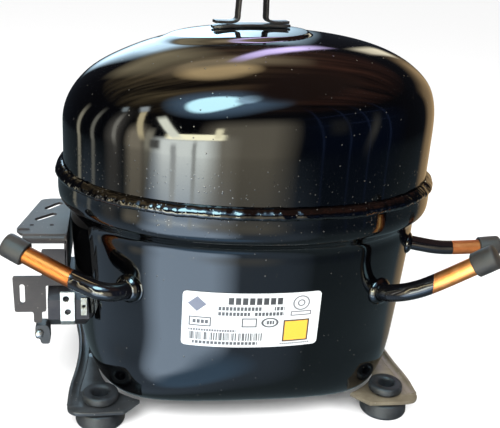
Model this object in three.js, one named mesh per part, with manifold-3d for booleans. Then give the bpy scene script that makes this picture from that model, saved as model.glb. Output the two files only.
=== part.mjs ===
// Hermetic reciprocating compressor, built as separate pieces.
// Millimetres, +Z up, +X along the shell's long axis, +Y towards the back.
// Everything is laid out about the centre of the four mounting holes; at the end the whole
// group is moved so that the origin is the centre of the bottom of its overall box.
import * as THREE from 'three';
import { mergeVertices } from 'three/addons/utils/BufferGeometryUtils.js';
import Module from 'manifold-3d';

const wasm = await Module();
wasm.setup();

// ---- driving dimensions -------------------------------------------------------------
const GAP = 0.3;                                   // left between touching pieces
const OVAL = { steps: 40, power: 2.15 };           // plan outline of the shell
const HOLES = { dx: 165.1, dy: 101.6 };            // mounting hole pattern, 6.5 x 4 in
const WALL = 3;                                    // shell sheet thickness
const DOME = { a: 103.5, b: 77.4, foot: 119.8, shoulder: 160, top: 212.3 };
// A dome's shoulder is tighter towards +X than towards -X: the power of its arc swings
// between these two values round the plan.
const SHOULDER_POWER = { mean: 2.55, swing: 0.55 };
// Lower shell: height, half length, half depth, plan power.
const CUP = [
  [12.5, 66, 44, 3.0], [13.3, 77, 55, 3.0], [16, 84, 61, 3.0], [22, 88.5, 65.5, 2.8],
  [32, 92.5, 69, 2.5], [48, 96, 71.6, 2.2], [75, 98, 73, 2.15], [103, 99.7, 73.8, 2.15],
  [112, 100.3, 74.3, 2.15], [115.5, 103, 76.7, 2.15], [119.5, 106, 79.6, 2.15],
  [131, 106.5, 80.1, 2.15],
];
const LOBE = { drop: 3.5, sharpness: 3 };          // four corner pockets of the cup's floor
const BEAD = { foot: 131, out: [[0.4, 0.3], [3.7, 0.3], [4.3, 2.2], [2.6, 5.2], [0.4, 5.5]] };  // past the dome, over its foot
const PLATE = { z: 10.5, thick: 2.5, hole: 6.8 };
const GROMMET = { foot: 13.8, ring: 9.75, neck: 6.4, bore: 4.4, ringTop: 18.4 };
const TERMINAL = { y: -6, z: 58.5, hole: 10.4, cup: 10 };
const FENCE = { x: -111.4, y0: -31.2, y1: 18.8, z0: 45.5, z1: 71.5, chamfer: 7, sheet: 1.6 };
const BRACKET = { sheet: 1.5, back: -100.5, front: -31.5, rear: 27, top: 103 };
const STRAP = { turn: 0.21, x: -2, y: 5, length: 45, width: 9, sheet: 1.5 };
const STUBS = {
  discharge_stub: {
    od: 9.6, wall: 1, plug: 6.5,
    route: [[-62, -48, 83], [-68.5, -56.5, 83.6], [-75.5, -62.5, 84.6], [-82.8, -62.5, 85.6],
      [-90.3, -58.5, 87], [-97, -54, 88.3], [-122.5, -44, 98.8], [-128.5, -41.6, 101.4]],
  },
  suction_stub: {
    od: 9.6, wall: 1, plug: 6.5,
    route: [[66, -48, 79], [69.3, -55.5, 80], [72.3, -62.6, 82.4], [78.2, -68.8, 86],
      [84.8, -72.6, 89.8], [90.6, -75.5, 94], [108.4, -85.8, 110], [113.5, -88.7, 114.6]],
  },
  process_stub: {
    od: 8.1, wall: 0.9, plug: 5.6,
    route: [[84, -28, 99], [91.4, -29.6, 98.8], [99.8, -30.8, 97.6], [107, -31.6, 96.6],
      [114.2, -32.2, 96.2], [136, -34, 97.6], [143, -34.6, 98.4]],
  },
};
const LABEL = { x0: -40.7, x1: 32, z0: 56.5, z1: 88.5, thick: 0.3 };

// The running gear.
const CRANK = { throw: 12, pin: 8, shaft: 10, bottom: 40, web0: 142, web1: 147, webR: 21 };
const ROD = { length: 46, z0: 148, z1: 156, axis: 152, bigEnd: 13, smallEnd: 8 };
const BORE = { r: 15.15, outer: 22, x0: 40, x1: 73.4 };
const PISTON = { r: 14.95, back: 10, front: 14, hollow: 11.6, crown: 6 };
const STATOR = { half: 56, corner: 14, z0: 50, z1: 110, bore: 30.6 };
const ROTOR = { r: 30, ringR0: 19, ringR1: 28.5, ring: 8 };
const SUSPENSION = { at: 46, seatTop: 18, springTop: 43.7, coil: 8, wire: 1.1, turns: 5 };

// ---- finishes -----------------------------------------------------------------------
const finish = (color, roughness, metalness) =>
  new THREE.MeshStandardMaterial({ color, roughness, metalness });
const ENAMEL = finish(0x07080a, 0.12, 0);
const COPPER = finish(0xc8662c, 0.32, 1);
const RUBBER = finish(0x24262a, 0.8, 0);
const STEEL = finish(0x6b6a6c, 0.45, 1);
const ZINC = finish(0xc9ccc8, 0.35, 1);
const IRON = finish(0x5a5a5c, 0.6, 0.8);
const LAMINATION = finish(0x43464c, 0.5, 0.9);
const ALUMINIUM = finish(0xb9bcc0, 0.4, 1);
const WINDING = finish(0xa14f22, 0.45, 0.6);
const PLASTIC = finish(0x15161a, 0.5, 0);
const PALE_PLASTIC = finish(0xd9d2bf, 0.6, 0);
const PAPER = finish(0xeef0ee, 0.6, 0);

// ---- small geometry tools -----------------------------------------------------------
const solidOf = (geometry) => {
  const bare = geometry.clone();
  bare.deleteAttribute('normal');
  bare.deleteAttribute('uv');
  const closed = mergeVertices(bare, 1e-4);
  return new wasm.Manifold(new wasm.Mesh({
    numProp: 3,
    vertProperties: new Float32Array(closed.attributes.position.array),
    triVerts: new Uint32Array(closed.index.array),
  }));
};

const geometryOf = (solid) => {
  const mesh = solid.getMesh();
  const geometry = new THREE.BufferGeometry();
  geometry.setAttribute('position', new THREE.BufferAttribute(mesh.vertProperties, 3));
  geometry.setIndex(new THREE.BufferAttribute(mesh.triVerts, 1));
  geometry.computeVertexNormals();
  return geometry;
};

const join = (...parts) => geometryOf(parts.map(solidOf).reduce((whole, part) => whole.add(part)));
const cut = (body, ...tools) => geometryOf(
  tools.map(solidOf).reduce((rest, tool) => rest.subtract(tool), solidOf(body)));

const piece = (name, geometry, material) => {
  const mesh = new THREE.Mesh(geometry, material);
  mesh.name = name;
  return mesh;
};

// A solid through closed rings of points; the first and last ring are capped from their centre.
const skin = (rings, closedLoop = false) => {
  const count = rings[0].length;
  const positions = rings.flat().flatMap((p) => [p.x, p.y, p.z]);
  const faces = [];
  const last = closedLoop ? rings.length : rings.length - 1;
  for (let row = 0; row < last; row += 1) {
    const next = (row + 1) % rings.length;
    for (let i = 0; i < count; i += 1) {
      const j = (i + 1) % count;
      const [a, b, c, d] = [row * count + i, row * count + j, next * count + j, next * count + i];
      faces.push(a, b, c, a, c, d);
    }
  }
  if (!closedLoop) {
    [[0, true], [rings.length - 1, false]].forEach(([row, reversed]) => {
      const centre = rings[row].reduce((sum, p) => sum.add(p), new THREE.Vector3());
      centre.divideScalar(count);
      const hub = positions.length / 3;
      positions.push(centre.x, centre.y, centre.z);
      for (let i = 0; i < count; i += 1) {
        const [a, b] = [row * count + i, row * count + (i + 1) % count];
        faces.push(...(reversed ? [hub, b, a] : [hub, a, b]));
      }
    });
  }
  const geometry = new THREE.BufferGeometry();
  geometry.setAttribute('position', new THREE.Float32BufferAttribute(positions, 3));
  geometry.setIndex(faces);
  return geometry;
};

const ovalPoint = (angle, a, b, power) => {
  const [c, s] = [Math.cos(angle), Math.sin(angle)];
  return [a * Math.sign(c) * Math.abs(c) ** (2 / power), b * Math.sign(s) * Math.abs(s) ** (2 / power)];
};

const ovalRing = (z, a, b, power, lift = () => 0) => Array.from({ length: OVAL.steps }, (_, i) => {
  const angle = (2 * Math.PI * i) / OVAL.steps;
  const [x, y] = ovalPoint(angle, a, b, power);
  return new THREE.Vector3(x, y, z + lift(angle));
});

// A turned piece about +Z, from [radius, height] pairs.
const turned = (profile, steps = 20) =>
  new THREE.LatheGeometry(profile.map(([r, z]) => new THREE.Vector2(r, z)), steps).rotateX(Math.PI / 2);

const ring = (r0, r1, z0, z1, steps = 20) =>
  turned([[r0, z0], [r1, z0], [r1, z1], [r0, z1], [r0, z0]], steps);

const disc = (r, z0, z1, steps = 20) => turned([[0, z0], [r, z0], [r, z1], [0, z1]], steps);

const block = (x0, x1, y0, y1, z0, z1) =>
  new THREE.BoxGeometry(x1 - x0, y1 - y0, z1 - z0).translate((x0 + x1) / 2, (y0 + y1) / 2, (z0 + z1) / 2);

// A flat outline raised along +Z.
const raised = (points, z0, z1, holes = []) => {
  const outline = points.map(([x, y]) => new THREE.Vector2(x, y));
  if (THREE.ShapeUtils.isClockWise(outline)) outline.reverse();
  const shape = new THREE.Shape(outline);
  holes.forEach((hole) => shape.holes.push(hole));
  const geometry = new THREE.ExtrudeGeometry(shape, {
    depth: z1 - z0, bevelEnabled: false, curveSegments: 10,
  });
  return geometry.translate(0, 0, z0);
};

const roundHole = (x, y, r, steps = 12) => new THREE.Path(Array.from({ length: steps }, (_, i) => {
  const angle = (-2 * Math.PI * i) / steps;
  return new THREE.Vector2(x + r * Math.cos(angle), y + r * Math.sin(angle));
}));

// A sheet standing in the XZ plane: its outline is [x, z] pairs, its thickness runs along +Y.
const standing = (points, y0, y1, holes = []) =>
  raised(points, -y1, -y0, holes).rotateX(Math.PI / 2);

// A bar along +X with its outline given as [y, z] pairs.
const barAlongX = (points, x0, x1, holes = []) =>
  raised(points, x0, x1, holes).applyMatrix4(new THREE.Matrix4().set(
    0, 0, 1, 0, 1, 0, 0, 0, 0, 1, 0, 0, 0, 0, 0, 1));

// A turned piece about +X through (y, z), from [radius, x] pairs.
const turnedAlongX = (profile, y, z, steps = 20) =>
  turned(profile, steps).rotateY(Math.PI / 2).translate(0, y, z);

// Puts a piece made along +Z at a point, pointing along a direction.
const aimed = (geometry, at, direction) => {
  const turn = new THREE.Quaternion().setFromUnitVectors(
    new THREE.Vector3(0, 0, 1), direction.clone().normalize());
  return geometry.applyQuaternion(turn).translate(at.x, at.y, at.z);
};

const circleShape = (r, hole = 0, steps = 10) => {
  const points = (radius, turn) => Array.from({ length: steps }, (_, i) => {
    const angle = (turn * 2 * Math.PI * i) / steps;
    return new THREE.Vector2(radius * Math.cos(angle), radius * Math.sin(angle));
  });
  const shape = new THREE.Shape(points(r, 1));
  if (hole) shape.holes.push(new THREE.Path(points(hole, -1)));
  return shape;
};

const routeCurve = (route) => new THREE.CatmullRomCurve3(
  route.map((p) => new THREE.Vector3(...p)), false, 'centripetal');

const along = (curve, shape, steps) =>
  new THREE.ExtrudeGeometry(shape, { steps, bevelEnabled: false, extrudePath: curve });

// Turns every triangle over.
const flipped = (geometry) => {
  const index = geometry.index.array.slice();
  for (let i = 0; i < index.length; i += 3) [index[i], index[i + 1]] = [index[i + 1], index[i]];
  geometry.setIndex(new THREE.BufferAttribute(index, 1));
  return geometry;
};

const mirroredX = (geometry) => {
  const copy = flipped(geometry.clone().scale(-1, 1, 1));
  copy.computeVertexNormals();
  return copy;
};

// A slot's edge between two centres, as a hole.
const slotPath = ([x0, y0], [x1, y1], r, steps = 6) => {
  const along = Math.atan2(y1 - y0, x1 - x0);
  const halfRound = (x, y, turn) => Array.from({ length: steps + 1 }, (_, i) => {
    const angle = along + turn + (Math.PI * i) / steps;
    return new THREE.Vector2(x + r * Math.cos(angle), y + r * Math.sin(angle));
  });
  return new THREE.Path([...halfRound(x0, y0, Math.PI / 2), ...halfRound(x1, y1, -Math.PI / 2)].reverse());
};

// ---- casing -------------------------------------------------------------------------
const shoulderScale = (angle, rise) => {
  const power = SHOULDER_POWER.mean + SHOULDER_POWER.swing * Math.cos(angle);
  return (1 - rise ** power) ** (1 / power);
};

const domeRing = (rise, inset) => {
  const { a, b, shoulder, top } = DOME;
  const z = shoulder + rise * (top - inset - shoulder);
  return Array.from({ length: OVAL.steps }, (_, i) => {
    const angle = (2 * Math.PI * i) / OVAL.steps;
    const scale = shoulderScale(angle, rise);
    const [x, y] = ovalPoint(angle, (a - inset) * scale, (b - inset) * scale, OVAL.power);
    return new THREE.Vector3(x, y, z);
  });
};

const domeRises = [0, 0.24, 0.42, 0.58, 0.71, 0.82, 0.905, 0.965, 0.995];

function upperShell() {
  const outside = domeRises.map((rise) => domeRing(rise, 0));
  const inside = domeRises.filter((_, i) => i % 2 === 0).map((rise) => domeRing(rise, WALL));
  const rim = (inset) => ovalRing(DOME.foot, DOME.a - inset, DOME.b - inset, OVAL.power);
  const rings = [...inside.reverse(), rim(WALL), rim(0), ...outside];
  return piece('upper_shell', skin(rings), ENAMEL);
}

const lobeDrop = (weight) => (angle) =>
  -LOBE.drop * weight * Math.abs(Math.sin(2 * angle)) ** LOBE.sharpness;

const cupRings = (offset, rows = CUP) => rows.map(([z, a, b, power], row) => {
  const weight = Math.max(0, 1 - row / 4);
  return ovalRing(z, a + offset, b + offset, power, lobeDrop(weight));
});

const cupSolid = (offset) => {
  const [z, a, b, power] = CUP[0];
  const floor = ovalRing(z - offset, a * 0.45, b * 0.45, power, lobeDrop(0.25));
  const first = ovalRing(z - offset, a, b, power, lobeDrop(1));
  return skin([floor, first, ...cupRings(offset).slice(1)]);
};

const stubTool = (stub, extra) => {
  const [from, to] = stub.route.slice(0, 2).map((p) => new THREE.Vector3(...p));
  const direction = to.clone().sub(from);
  return aimed(disc(stub.od / 2 + extra, -6, 30, 12), from, direction);
};

function lowerShell() {
  const neck = CUP.length - 4;
  const inside = cupRings(-WALL).slice(0, neck + 1).map((points, row) => {
    const lift = row < 3 ? WALL * (1 - row / 4) : 0;
    return points.map((p) => p.clone().setZ(p.z + lift));
  }).filter((_, row) => row % 2 === 0);
  const flare = [[115.8, 99.8, 73.7], [119.3, 103.9, 77.8], [BEAD.foot, 103.9, 77.8]]
    .map(([z, a, b]) => ovalRing(z, a, b, OVAL.power));
  const [z, a, b, power] = CUP[0];
  const floorIn = ovalRing(z + WALL, a * 0.45, b * 0.45, power, lobeDrop(0.25));
  const floorOut = ovalRing(z, a * 0.45, b * 0.45, power, lobeDrop(0.25));
  const rings = [floorOut, ...cupRings(0), ...flare.reverse(), ...inside.reverse(), floorIn];
  const cup = solidOf(skin(rings));
  const holes = Object.values(STUBS).map((stub) => stubTool(stub, GAP));
  holes.push(turnedAlongX([[0, -110], [TERMINAL.hole, -110], [TERMINAL.hole, -80], [0, -80]],
    TERMINAL.y, TERMINAL.z));
  const seats = springPlaces().map(([x, y]) => turned(
    [[0, 13], [8.5, 13], [8.5, SUSPENSION.seatTop - GAP], [5, SUSPENSION.seatTop - GAP],
      [5, 25], [3.5, 26.5], [0, 26.5]], 12).translate(x, y, 0));
  const open = holes.map(solidOf).reduce((rest, tool) => rest.subtract(tool), cup);
  return piece('lower_shell', geometryOf(seats.map(solidOf).reduce((w, p) => w.add(p), open)), ENAMEL);
}

function seamWeld() {
  const rings = BEAD.out.map(([out, up]) => ovalRing(BEAD.foot + up, DOME.a + out, DOME.b + out, OVAL.power));
  return piece('seam_weld', skin(rings, true), ENAMEL);
}

// ---- base ---------------------------------------------------------------------------
// The right plate; the left one is its mirror image.
function footPlate(name, side) {
  const { z, thick, hole } = PLATE;
  const inner = Array.from({ length: 15 }, (_, i) => {
    const angle = THREE.MathUtils.lerp(-0.92, 0.92, i / 14);
    return ovalPoint(angle, 84.8, 61.8, 3.0);
  });
  const outer = [[70, 63.5], [93, 63.5], [97, 62.3], [99.6, 59.5], [100.4, 56], [99.8, 40],
    [97.4, 20], [96.4, 0], [97.4, -20], [99.8, -40], [100.4, -56], [99.6, -59.5], [97, -62.3],
    [93, -63.5], [70, -63.5]];
  const holes = [-1, 1].map((s) => roundHole(HOLES.dx / 2, (s * HOLES.dy) / 2, hole));
  holes.push(roundHole(90.6, 0, 2.2));
  const flat = raised([...inner, ...outer], z, z + thick, holes);
  // The outer edge is turned up as a low rib.
  const edge = outer.slice(4, 11);
  const lip = raised([...edge, ...edge.slice().reverse().map(([x, y]) => [x - 1.8, y])], z + 0.5, z + 6);
  const plate = join(flat, lip);
  if (side > 0) return piece(name, plate, ENAMEL);
  return piece(name, mirroredX(plate), ENAMEL);
}

function grommet(name, sx, sy) {
  const { foot, ring: top, neck, bore, ringTop } = GROMMET;
  const [under, over] = [PLATE.z - GAP, PLATE.z + PLATE.thick + GAP];
  const profile = [[bore, 0], [foot - 1.5, 0], [foot, 1.5], [foot - 1, under], [neck, under],
    [neck, over], [top, over], [top, ringTop - 1.8], [top - 2, ringTop], [bore, ringTop], [bore, 0]];
  const body = turned(profile, 16).translate((sx * HOLES.dx) / 2, (sy * HOLES.dy) / 2, 0);
  return piece(name, body, RUBBER);
}

// ---- tube stubs ---------------------------------------------------------------------
const STUB_STEPS = 12;

function stubPieces(name, stub) {
  const curve = routeCurve(stub.route);
  const shape = circleShape(stub.od / 2, stub.od / 2 - stub.wall);
  const [from, to] = stub.route.slice(0, 2).map((p) => new THREE.Vector3(...p));
  const out = to.clone().sub(from);
  const collarRing = aimed(turned([[stub.od / 2 + 0.35, 0], [stub.od / 2 + 4, 0],
    [stub.od / 2 + 3.2, 4.6], [stub.od / 2 + 1.2, 6], [stub.od / 2 + 0.35, 6],
    [stub.od / 2 + 0.35, 0]], 14), to.clone().addScaledVector(out.clone().normalize(), -3.5), out);
  const tube = solidOf(along(curve, shape, STUB_STEPS));
  const collar = solidOf(collarRing).subtract(solidOf(cupSolid(GAP)))
    .subtract(solidOf(along(curve, circleShape(stub.od / 2 + 0.3), STUB_STEPS)));
  const biggest = collar.decompose().sort((p, q) => q.volume() - p.volume())[0];
  const short = name.replace('_stub', '');
  const end = new THREE.Vector3(...stub.route.at(-1));
  const tip = curve.getTangentAt(1);
  const [r, bore] = [stub.plug, stub.od / 2 + GAP];
  const plug = aimed(turned([[0, 0], [stub.od / 2 - stub.wall - 0.3, 0], [stub.od / 2 - stub.wall - 0.3, 8],
    [bore, 8], [bore, -1.5], [r, -1.5], [r, 9.6], [r - 1, 11], [0, 11]], 14),
  end.clone().addScaledVector(tip, -7.6), tip);
  return [
    piece(name, geometryOf(tube), COPPER),
    piece(`${short}_collar`, geometryOf(biggest), ENAMEL),
    piece(`${short}_plug`, plug, RUBBER),
  ];
}

// ---- rating label -------------------------------------------------------------------
const cupAt = (z) => {
  const next = CUP.findIndex(([height]) => height > z);
  const [low, high] = [CUP[next - 1], CUP[next]];
  const t = (z - low[0]) / (high[0] - low[0]);
  return low.map((value, i) => THREE.MathUtils.lerp(value, high[i], t));
};

function ratingLabel() {
  const columns = 12;
  const wallPoint = (x, z, off) => {
    const [, a, b, power] = cupAt(z);
    return new THREE.Vector3(x, -(b + off) * (1 - (Math.abs(x) / (a + off)) ** power) ** (1 / power), z);
  };
  const rings = Array.from({ length: columns + 1 }, (_, i) => {
    const x = THREE.MathUtils.lerp(LABEL.x0, LABEL.x1, i / columns);
    return [[LABEL.z0, GAP], [75, GAP], [LABEL.z1, GAP], [LABEL.z1, GAP + LABEL.thick],
      [75, GAP + LABEL.thick], [LABEL.z0, GAP + LABEL.thick]]
      .map(([z, off]) => wallPoint(x, z, off));
  });
  return piece('rating_label', skin(rings), PAPER);
}

// ---- terminal end -------------------------------------------------------------------
const octagon = (y0, y1, z0, z1, c) => [[y0 + c, z0], [y1 - c, z0], [y1, z0 + c], [y1, z1 - c],
  [y1 - c, z1], [y0 + c, z1], [y0, z1 - c], [y0, z0 + c]];

function terminalFence() {
  const { x, y0, y1, z0, z1, chamfer, sheet } = FENCE;
  const outside = barAlongX(octagon(y0, y1, z0, z1, chamfer), x, -80);
  const inside = barAlongX(octagon(y0 + sheet, y1 - sheet, z0 + sheet, z1 - sheet, chamfer - 0.6), x - 5, -70);
  return piece('terminal_fence', cut(outside, inside, cupSolid(GAP)), STEEL);
}

function fenceStrap() {
  const [y, z] = [FENCE.y0 - GAP, FENCE.z0 + FENCE.chamfer];
  const section = [[y, 69.8], [y - 1.2, 69.8], [y - 1.2, z - 0.4], [y + 3.1, z - 4.9], [y + 3.95, z - 4.05], [y, z]];
  const strap = barAlongX(section, -104.6, -96.7);
  const holes = [[-101.4, 65.8], [-100.5, 57.8]].map(([x, h]) =>
    disc(1.7, -3, 3, 14).rotateX(Math.PI / 2).translate(x, y - 0.6, h));
  return piece('fence_strap', cut(strap, ...holes), ZINC);
}

function earthTab() {
  const y = FENCE.y0 - GAP;
  const tab = standing([[-93.4, 55.6], [-90.2, 55.6], [-90.2, 66.2], [-93.4, 66.2]], y - 1.2, y,
    [roundHole(-91.8, 61.2, 1)]);
  return piece('earth_tab', tab, ZINC);
}

function terminalBracket() {
  const { sheet, back, front, rear, top } = BRACKET;
  const shelf = raised([[back, front], [-124, front], [-127.8, -22], [-118.3, 25], [-113, rear], [back, rear]],
    top - sheet, top, [roundHole(-120, -16, 1.2), roundHole(-109.3, -16, 1.2),
      slotPath([-117.6, -7], [-109.6, 0.8], 1.9), slotPath([-113.6, 10.4], [-107.4, 18.6], 1.9)]);
  const lip = block(-123.2, back, front, front + sheet, 98.5, top - 0.5);
  const wall = block(back - sheet, back, front, rear, 73.6, top - 0.2);
  const flag = standing([[-114, 94.8], [back, 94.8], [back, 73.6], [-112.2, 73.6], [-112.2, 57.6],
    [-114.6, 57.6], [-114.6, 50.9], [-119, 50.9], [-119, 57.6], [-128.6, 57.6], [-129.6, 58.6],
    [-129.6, 78], [-128.6, 79], [-114, 79]], front, front + sheet,
  [slotPath([-124.7, 64.2], [-124.7, 73.1], 1.4)]);
  return piece('terminal_bracket', join(shelf, lip, wall, flag), STEEL);
}

function coverClip() {
  const y = BRACKET.front;
  const body = join(block(-118.2, -111.8, y - 2, y + 6, 42, 50.2),
    block(-115.4, -110.4, y - 1, y + 5, 38.6, 42.2));
  const hole = disc(1.9, -10, 10, 12).rotateX(Math.PI / 2).translate(-116, y + 2, 46);
  return piece('cover_clip', cut(body, hole), PLASTIC);
}

function clipScrew() {
  const profile = [[0, -3.4], [3, -3.4], [3, -1.4], [1.5, -1.4], [1.5, 8], [0, 8]];
  const screw = turned(profile, 12).rotateX(-Math.PI / 2).translate(-116, BRACKET.front - 1, 46);
  return piece('clip_screw', screw, ZINC);
}

const pinPlaces = [[0, 4.6], [-4.2, -2.6], [4.2, -2.6]];

function terminalBody() {
  const { y, z, cup } = TERMINAL;
  const body = turnedAlongX([[0, -98.6], [cup - 2, -98.6], [cup, -97.4], [cup, -89], [0, -89]], y, z);
  const holes = pinPlaces.map(([dy, dz]) =>
    turnedAlongX([[0, -120], [1.5, -120], [1.5, -70], [0, -70]], y + dy, z + dz, 10));
  return piece('terminal_body', cut(body, ...holes), STEEL);
}

function terminalPins() {
  return pinPlaces.map(([dy, dz], i) => piece(`terminal_pin_${i + 1}`,
    turnedAlongX([[0, -108], [0.7, -108], [1.15, -107.2], [1.15, -84.5], [0, -84.5]],
      TERMINAL.y + dy, TERMINAL.z + dz, 10), ZINC));
}

function leadConnector() {
  const { y, z } = TERMINAL;
  const body = block(-88.6, -78, y - 9, y + 9, z - 8, z + 9);
  const holes = pinPlaces.map(([dy, dz]) =>
    turnedAlongX([[0, -100], [1.5, -100], [1.5, -83], [0, -83]], y + dy, z + dz, 10));
  return piece('lead_connector', cut(body, ...holes), PALE_PLASTIC);
}

// ---- strap and ears on the dome -----------------------------------------------------
const domeHeight = (x, y) => {
  // The height of the outside of the dome over a place near its top, by halving.
  const angle = Math.atan2(y / DOME.b, x / DOME.a);
  const reach = Math.hypot(x / DOME.a, y / DOME.b);
  let [low, high] = [0, 1];
  for (let i = 0; i < 30; i += 1) {
    const mid = (low + high) / 2;
    if (shoulderScale(angle, mid) > reach) low = mid;
    else high = mid;
  }
  return DOME.shoulder + low * (DOME.top - DOME.shoulder);
};

const onStrap = (geometry) => geometry.rotateZ(STRAP.turn).translate(STRAP.x, STRAP.y, 0);

function topStrap() {
  const { length, width, sheet, x, y, turn } = STRAP;
  const rows = 8;
  const rings = Array.from({ length: rows + 1 }, (_, i) => {
    const u = THREE.MathUtils.lerp(-length / 2, length / 2, i / rows);
    const z = domeHeight(x + u * Math.cos(turn), y + u * Math.sin(turn)) + GAP;
    return [[-width / 2, z], [-width / 2, z + sheet], [width / 2, z + sheet], [width / 2, z]]
      .map(([v, h]) => new THREE.Vector3(u, v, h));
  });
  return piece('top_strap', onStrap(flipped(skin(rings))), STEEL);
}

// An ear is a strip: a foot on the strap, a round bend and an upright.
function topEar(name, side) {
  const { sheet, length, x, y, turn } = STRAP;
  const [tip, bend, height, half] = [length / 2 - 1, 8.2, 16, 3];
  const centre = (u) => domeHeight(x + side * u * Math.cos(turn), y + side * u * Math.sin(turn));
  const lift = 2 * GAP + sheet + Math.max(centre(tip), centre(bend));
  const spine = new THREE.CatmullRomCurve3([
    new THREE.Vector3(side * tip, 0, lift + sheet / 2),
    new THREE.Vector3(side * (bend + 3), 0, lift + sheet / 2 + 0.1),
    new THREE.Vector3(side * (bend + 0.4), 0, lift + 2.2),
    new THREE.Vector3(side * bend, 0, lift + 6),
    new THREE.Vector3(side * (bend - 0.4), 0, lift + height),
  ]);
  const rings = spine.getSpacedPoints(12).map((p, i) => {
    const t = spine.getTangentAt(i / 12);
    const n = new THREE.Vector3(-t.z, 0, t.x).multiplyScalar(sheet / 2);
    return [[-half, 1], [-half, -1], [half, -1], [half, 1]]
      .map(([v, s]) => p.clone().addScaledVector(n, s).setY(v));
  });
  const strip = skin(rings);
  if (solidOf(strip).volume() < 0) flipped(strip);
  return piece(name, onStrap(strip), STEEL);
}

// ---- motor --------------------------------------------------------------------------
function springPlaces() {
  return [[-1, -1], [1, -1], [1, 1], [-1, 1]].map(([sx, sy]) => [sx * SUSPENSION.at, sy * SUSPENSION.at]);
}

const chamferedSquare = (half, corner) => {
  const near = half - corner;
  return [[half, near], [near, half], [-near, half], [-half, near], [-half, -near], [-near, -half],
    [near, -half], [half, -near]];
};

function statorCore() {
  const holes = springPlaces().map(([x, y]) => roundHole(x, y, 3.1));
  holes.push(roundHole(0, 0, STATOR.bore, 28));
  return piece('stator_core', raised(chamferedSquare(STATOR.half, STATOR.corner), STATOR.z0, STATOR.z1, holes),
    LAMINATION);
}

function winding(name, z0, z1) {
  const [low, high] = [z0 + 2.5, z1 - 2.5];
  return piece(name, turned([[34, z0], [48, z0], [51, low], [51, high], [48, z1], [34, z1], [33, high],
    [33, low], [34, z0]], 24), WINDING);
}

function statorBolts() {
  const profile = [[0, 34], [3.6, 34], [5, 35.6], [5, 44], [7.4, 44], [7.4, 49.7], [2.7, 49.7],
    [2.7, 128], [0, 128]];
  return springPlaces().map(([x, y], i) =>
    piece(`stator_bolt_${i + 1}`, turned(profile, 12).translate(x, y, 0), STEEL));
}

function springs() {
  const { seatTop, springTop, coil, wire, turns } = SUSPENSION;
  const [low, high] = [seatTop + wire, springTop - wire - GAP];
  class Helix extends THREE.Curve {
    getPoint(t, target = new THREE.Vector3()) {
      const angle = t * turns * 2 * Math.PI;
      return target.set(coil * Math.cos(angle), coil * Math.sin(angle), THREE.MathUtils.lerp(low, high, t));
    }
  }
  return springPlaces().map(([x, y], i) => piece(`spring_${i + 1}`,
    along(new Helix(), circleShape(wire, 0, 4), turns * 9).translate(x, y, 0), ZINC));
}

function rotorCore() {
  return piece('rotor_core', ring(CRANK.shaft + GAP, ROTOR.r, STATOR.z0, STATOR.z1, 28), LAMINATION);
}

function rotorRing(name, z0) {
  return piece(name, ring(ROTOR.ringR0, ROTOR.ringR1, z0, z0 + ROTOR.ring, 24), ALUMINIUM);
}

// ---- crank, rod and piston ----------------------------------------------------------
function crankshaft() {
  const { shaft, bottom, web0, web1, webR } = CRANK;
  const turnedShaft = turned([[0, bottom], [shaft - 1, bottom], [shaft, bottom + 1], [shaft, web0],
    [webR, web0], [webR, web1], [0, web1]], 24);
  // The web is cut flat on the crank pin's side, so the rest of it is the counterweight.
  const trims = [-1, 1].map((s) => block(4, 30, s > 0 ? 13 : -30, s > 0 ? 30 : -13, web0 - 1, web1 + 1));
  const pickupSocket = disc(3.4, bottom - 5, bottom + 12, 12);
  return piece('crankshaft', cut(turnedShaft, pickupSocket, ...trims), IRON);
}

function oilPickup() {
  const { bottom } = CRANK;
  return piece('oil_pickup', turned([[2.2, bottom + 10], [2.2, 28], [1.3, 20], [2.3, 20], [3.1, 28],
    [3.1, bottom + 10], [2.2, bottom + 10]], 12), STEEL);
}

function crankPin() {
  const { throw: x, pin, web1 } = CRANK;
  return piece('crank_pin', disc(pin, web1 + GAP, 159).translate(x, 0, 0), STEEL);
}

function connectingRod() {
  const { throw: x } = CRANK;
  const { length, z0, z1, bigEnd, smallEnd } = ROD;
  const body = join(disc(bigEnd, z0, z1).translate(x, 0, 0), disc(smallEnd, z0, z1).translate(x + length, 0, 0),
    raised([[x, -6.5], [x + length, -4], [x + length, 4], [x, 6.5]], z0 + 1, z1 - 1));
  const holes = [disc(CRANK.pin + GAP, z0 - 5, z1 + 5).translate(x, 0, 0),
    disc(4.3, z0 - 5, z1 + 5, 16).translate(x + length, 0, 0)];
  return piece('connecting_rod', cut(body, ...holes), IRON);
}

const wristX = CRANK.throw + ROD.length;

function piston() {
  const { r, back, front, hollow, crown } = PISTON;
  const cup = turnedAlongX([[hollow, wristX - back], [r, wristX - back], [r, wristX + front],
    [0, wristX + front], [0, wristX + front - crown], [hollow, wristX + front - crown],
    [hollow, wristX - back]], 0, ROD.axis, 28);
  return piece('piston', cut(cup, disc(4.3, 120, 180, 16).translate(wristX, 0, 0)), IRON);
}

function wristPin() {
  const half = 13.2;
  return piece('wrist_pin', ring(1.8, 4, ROD.axis - half, ROD.axis + half, 16).translate(wristX, 0, 0), STEEL);
}

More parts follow.
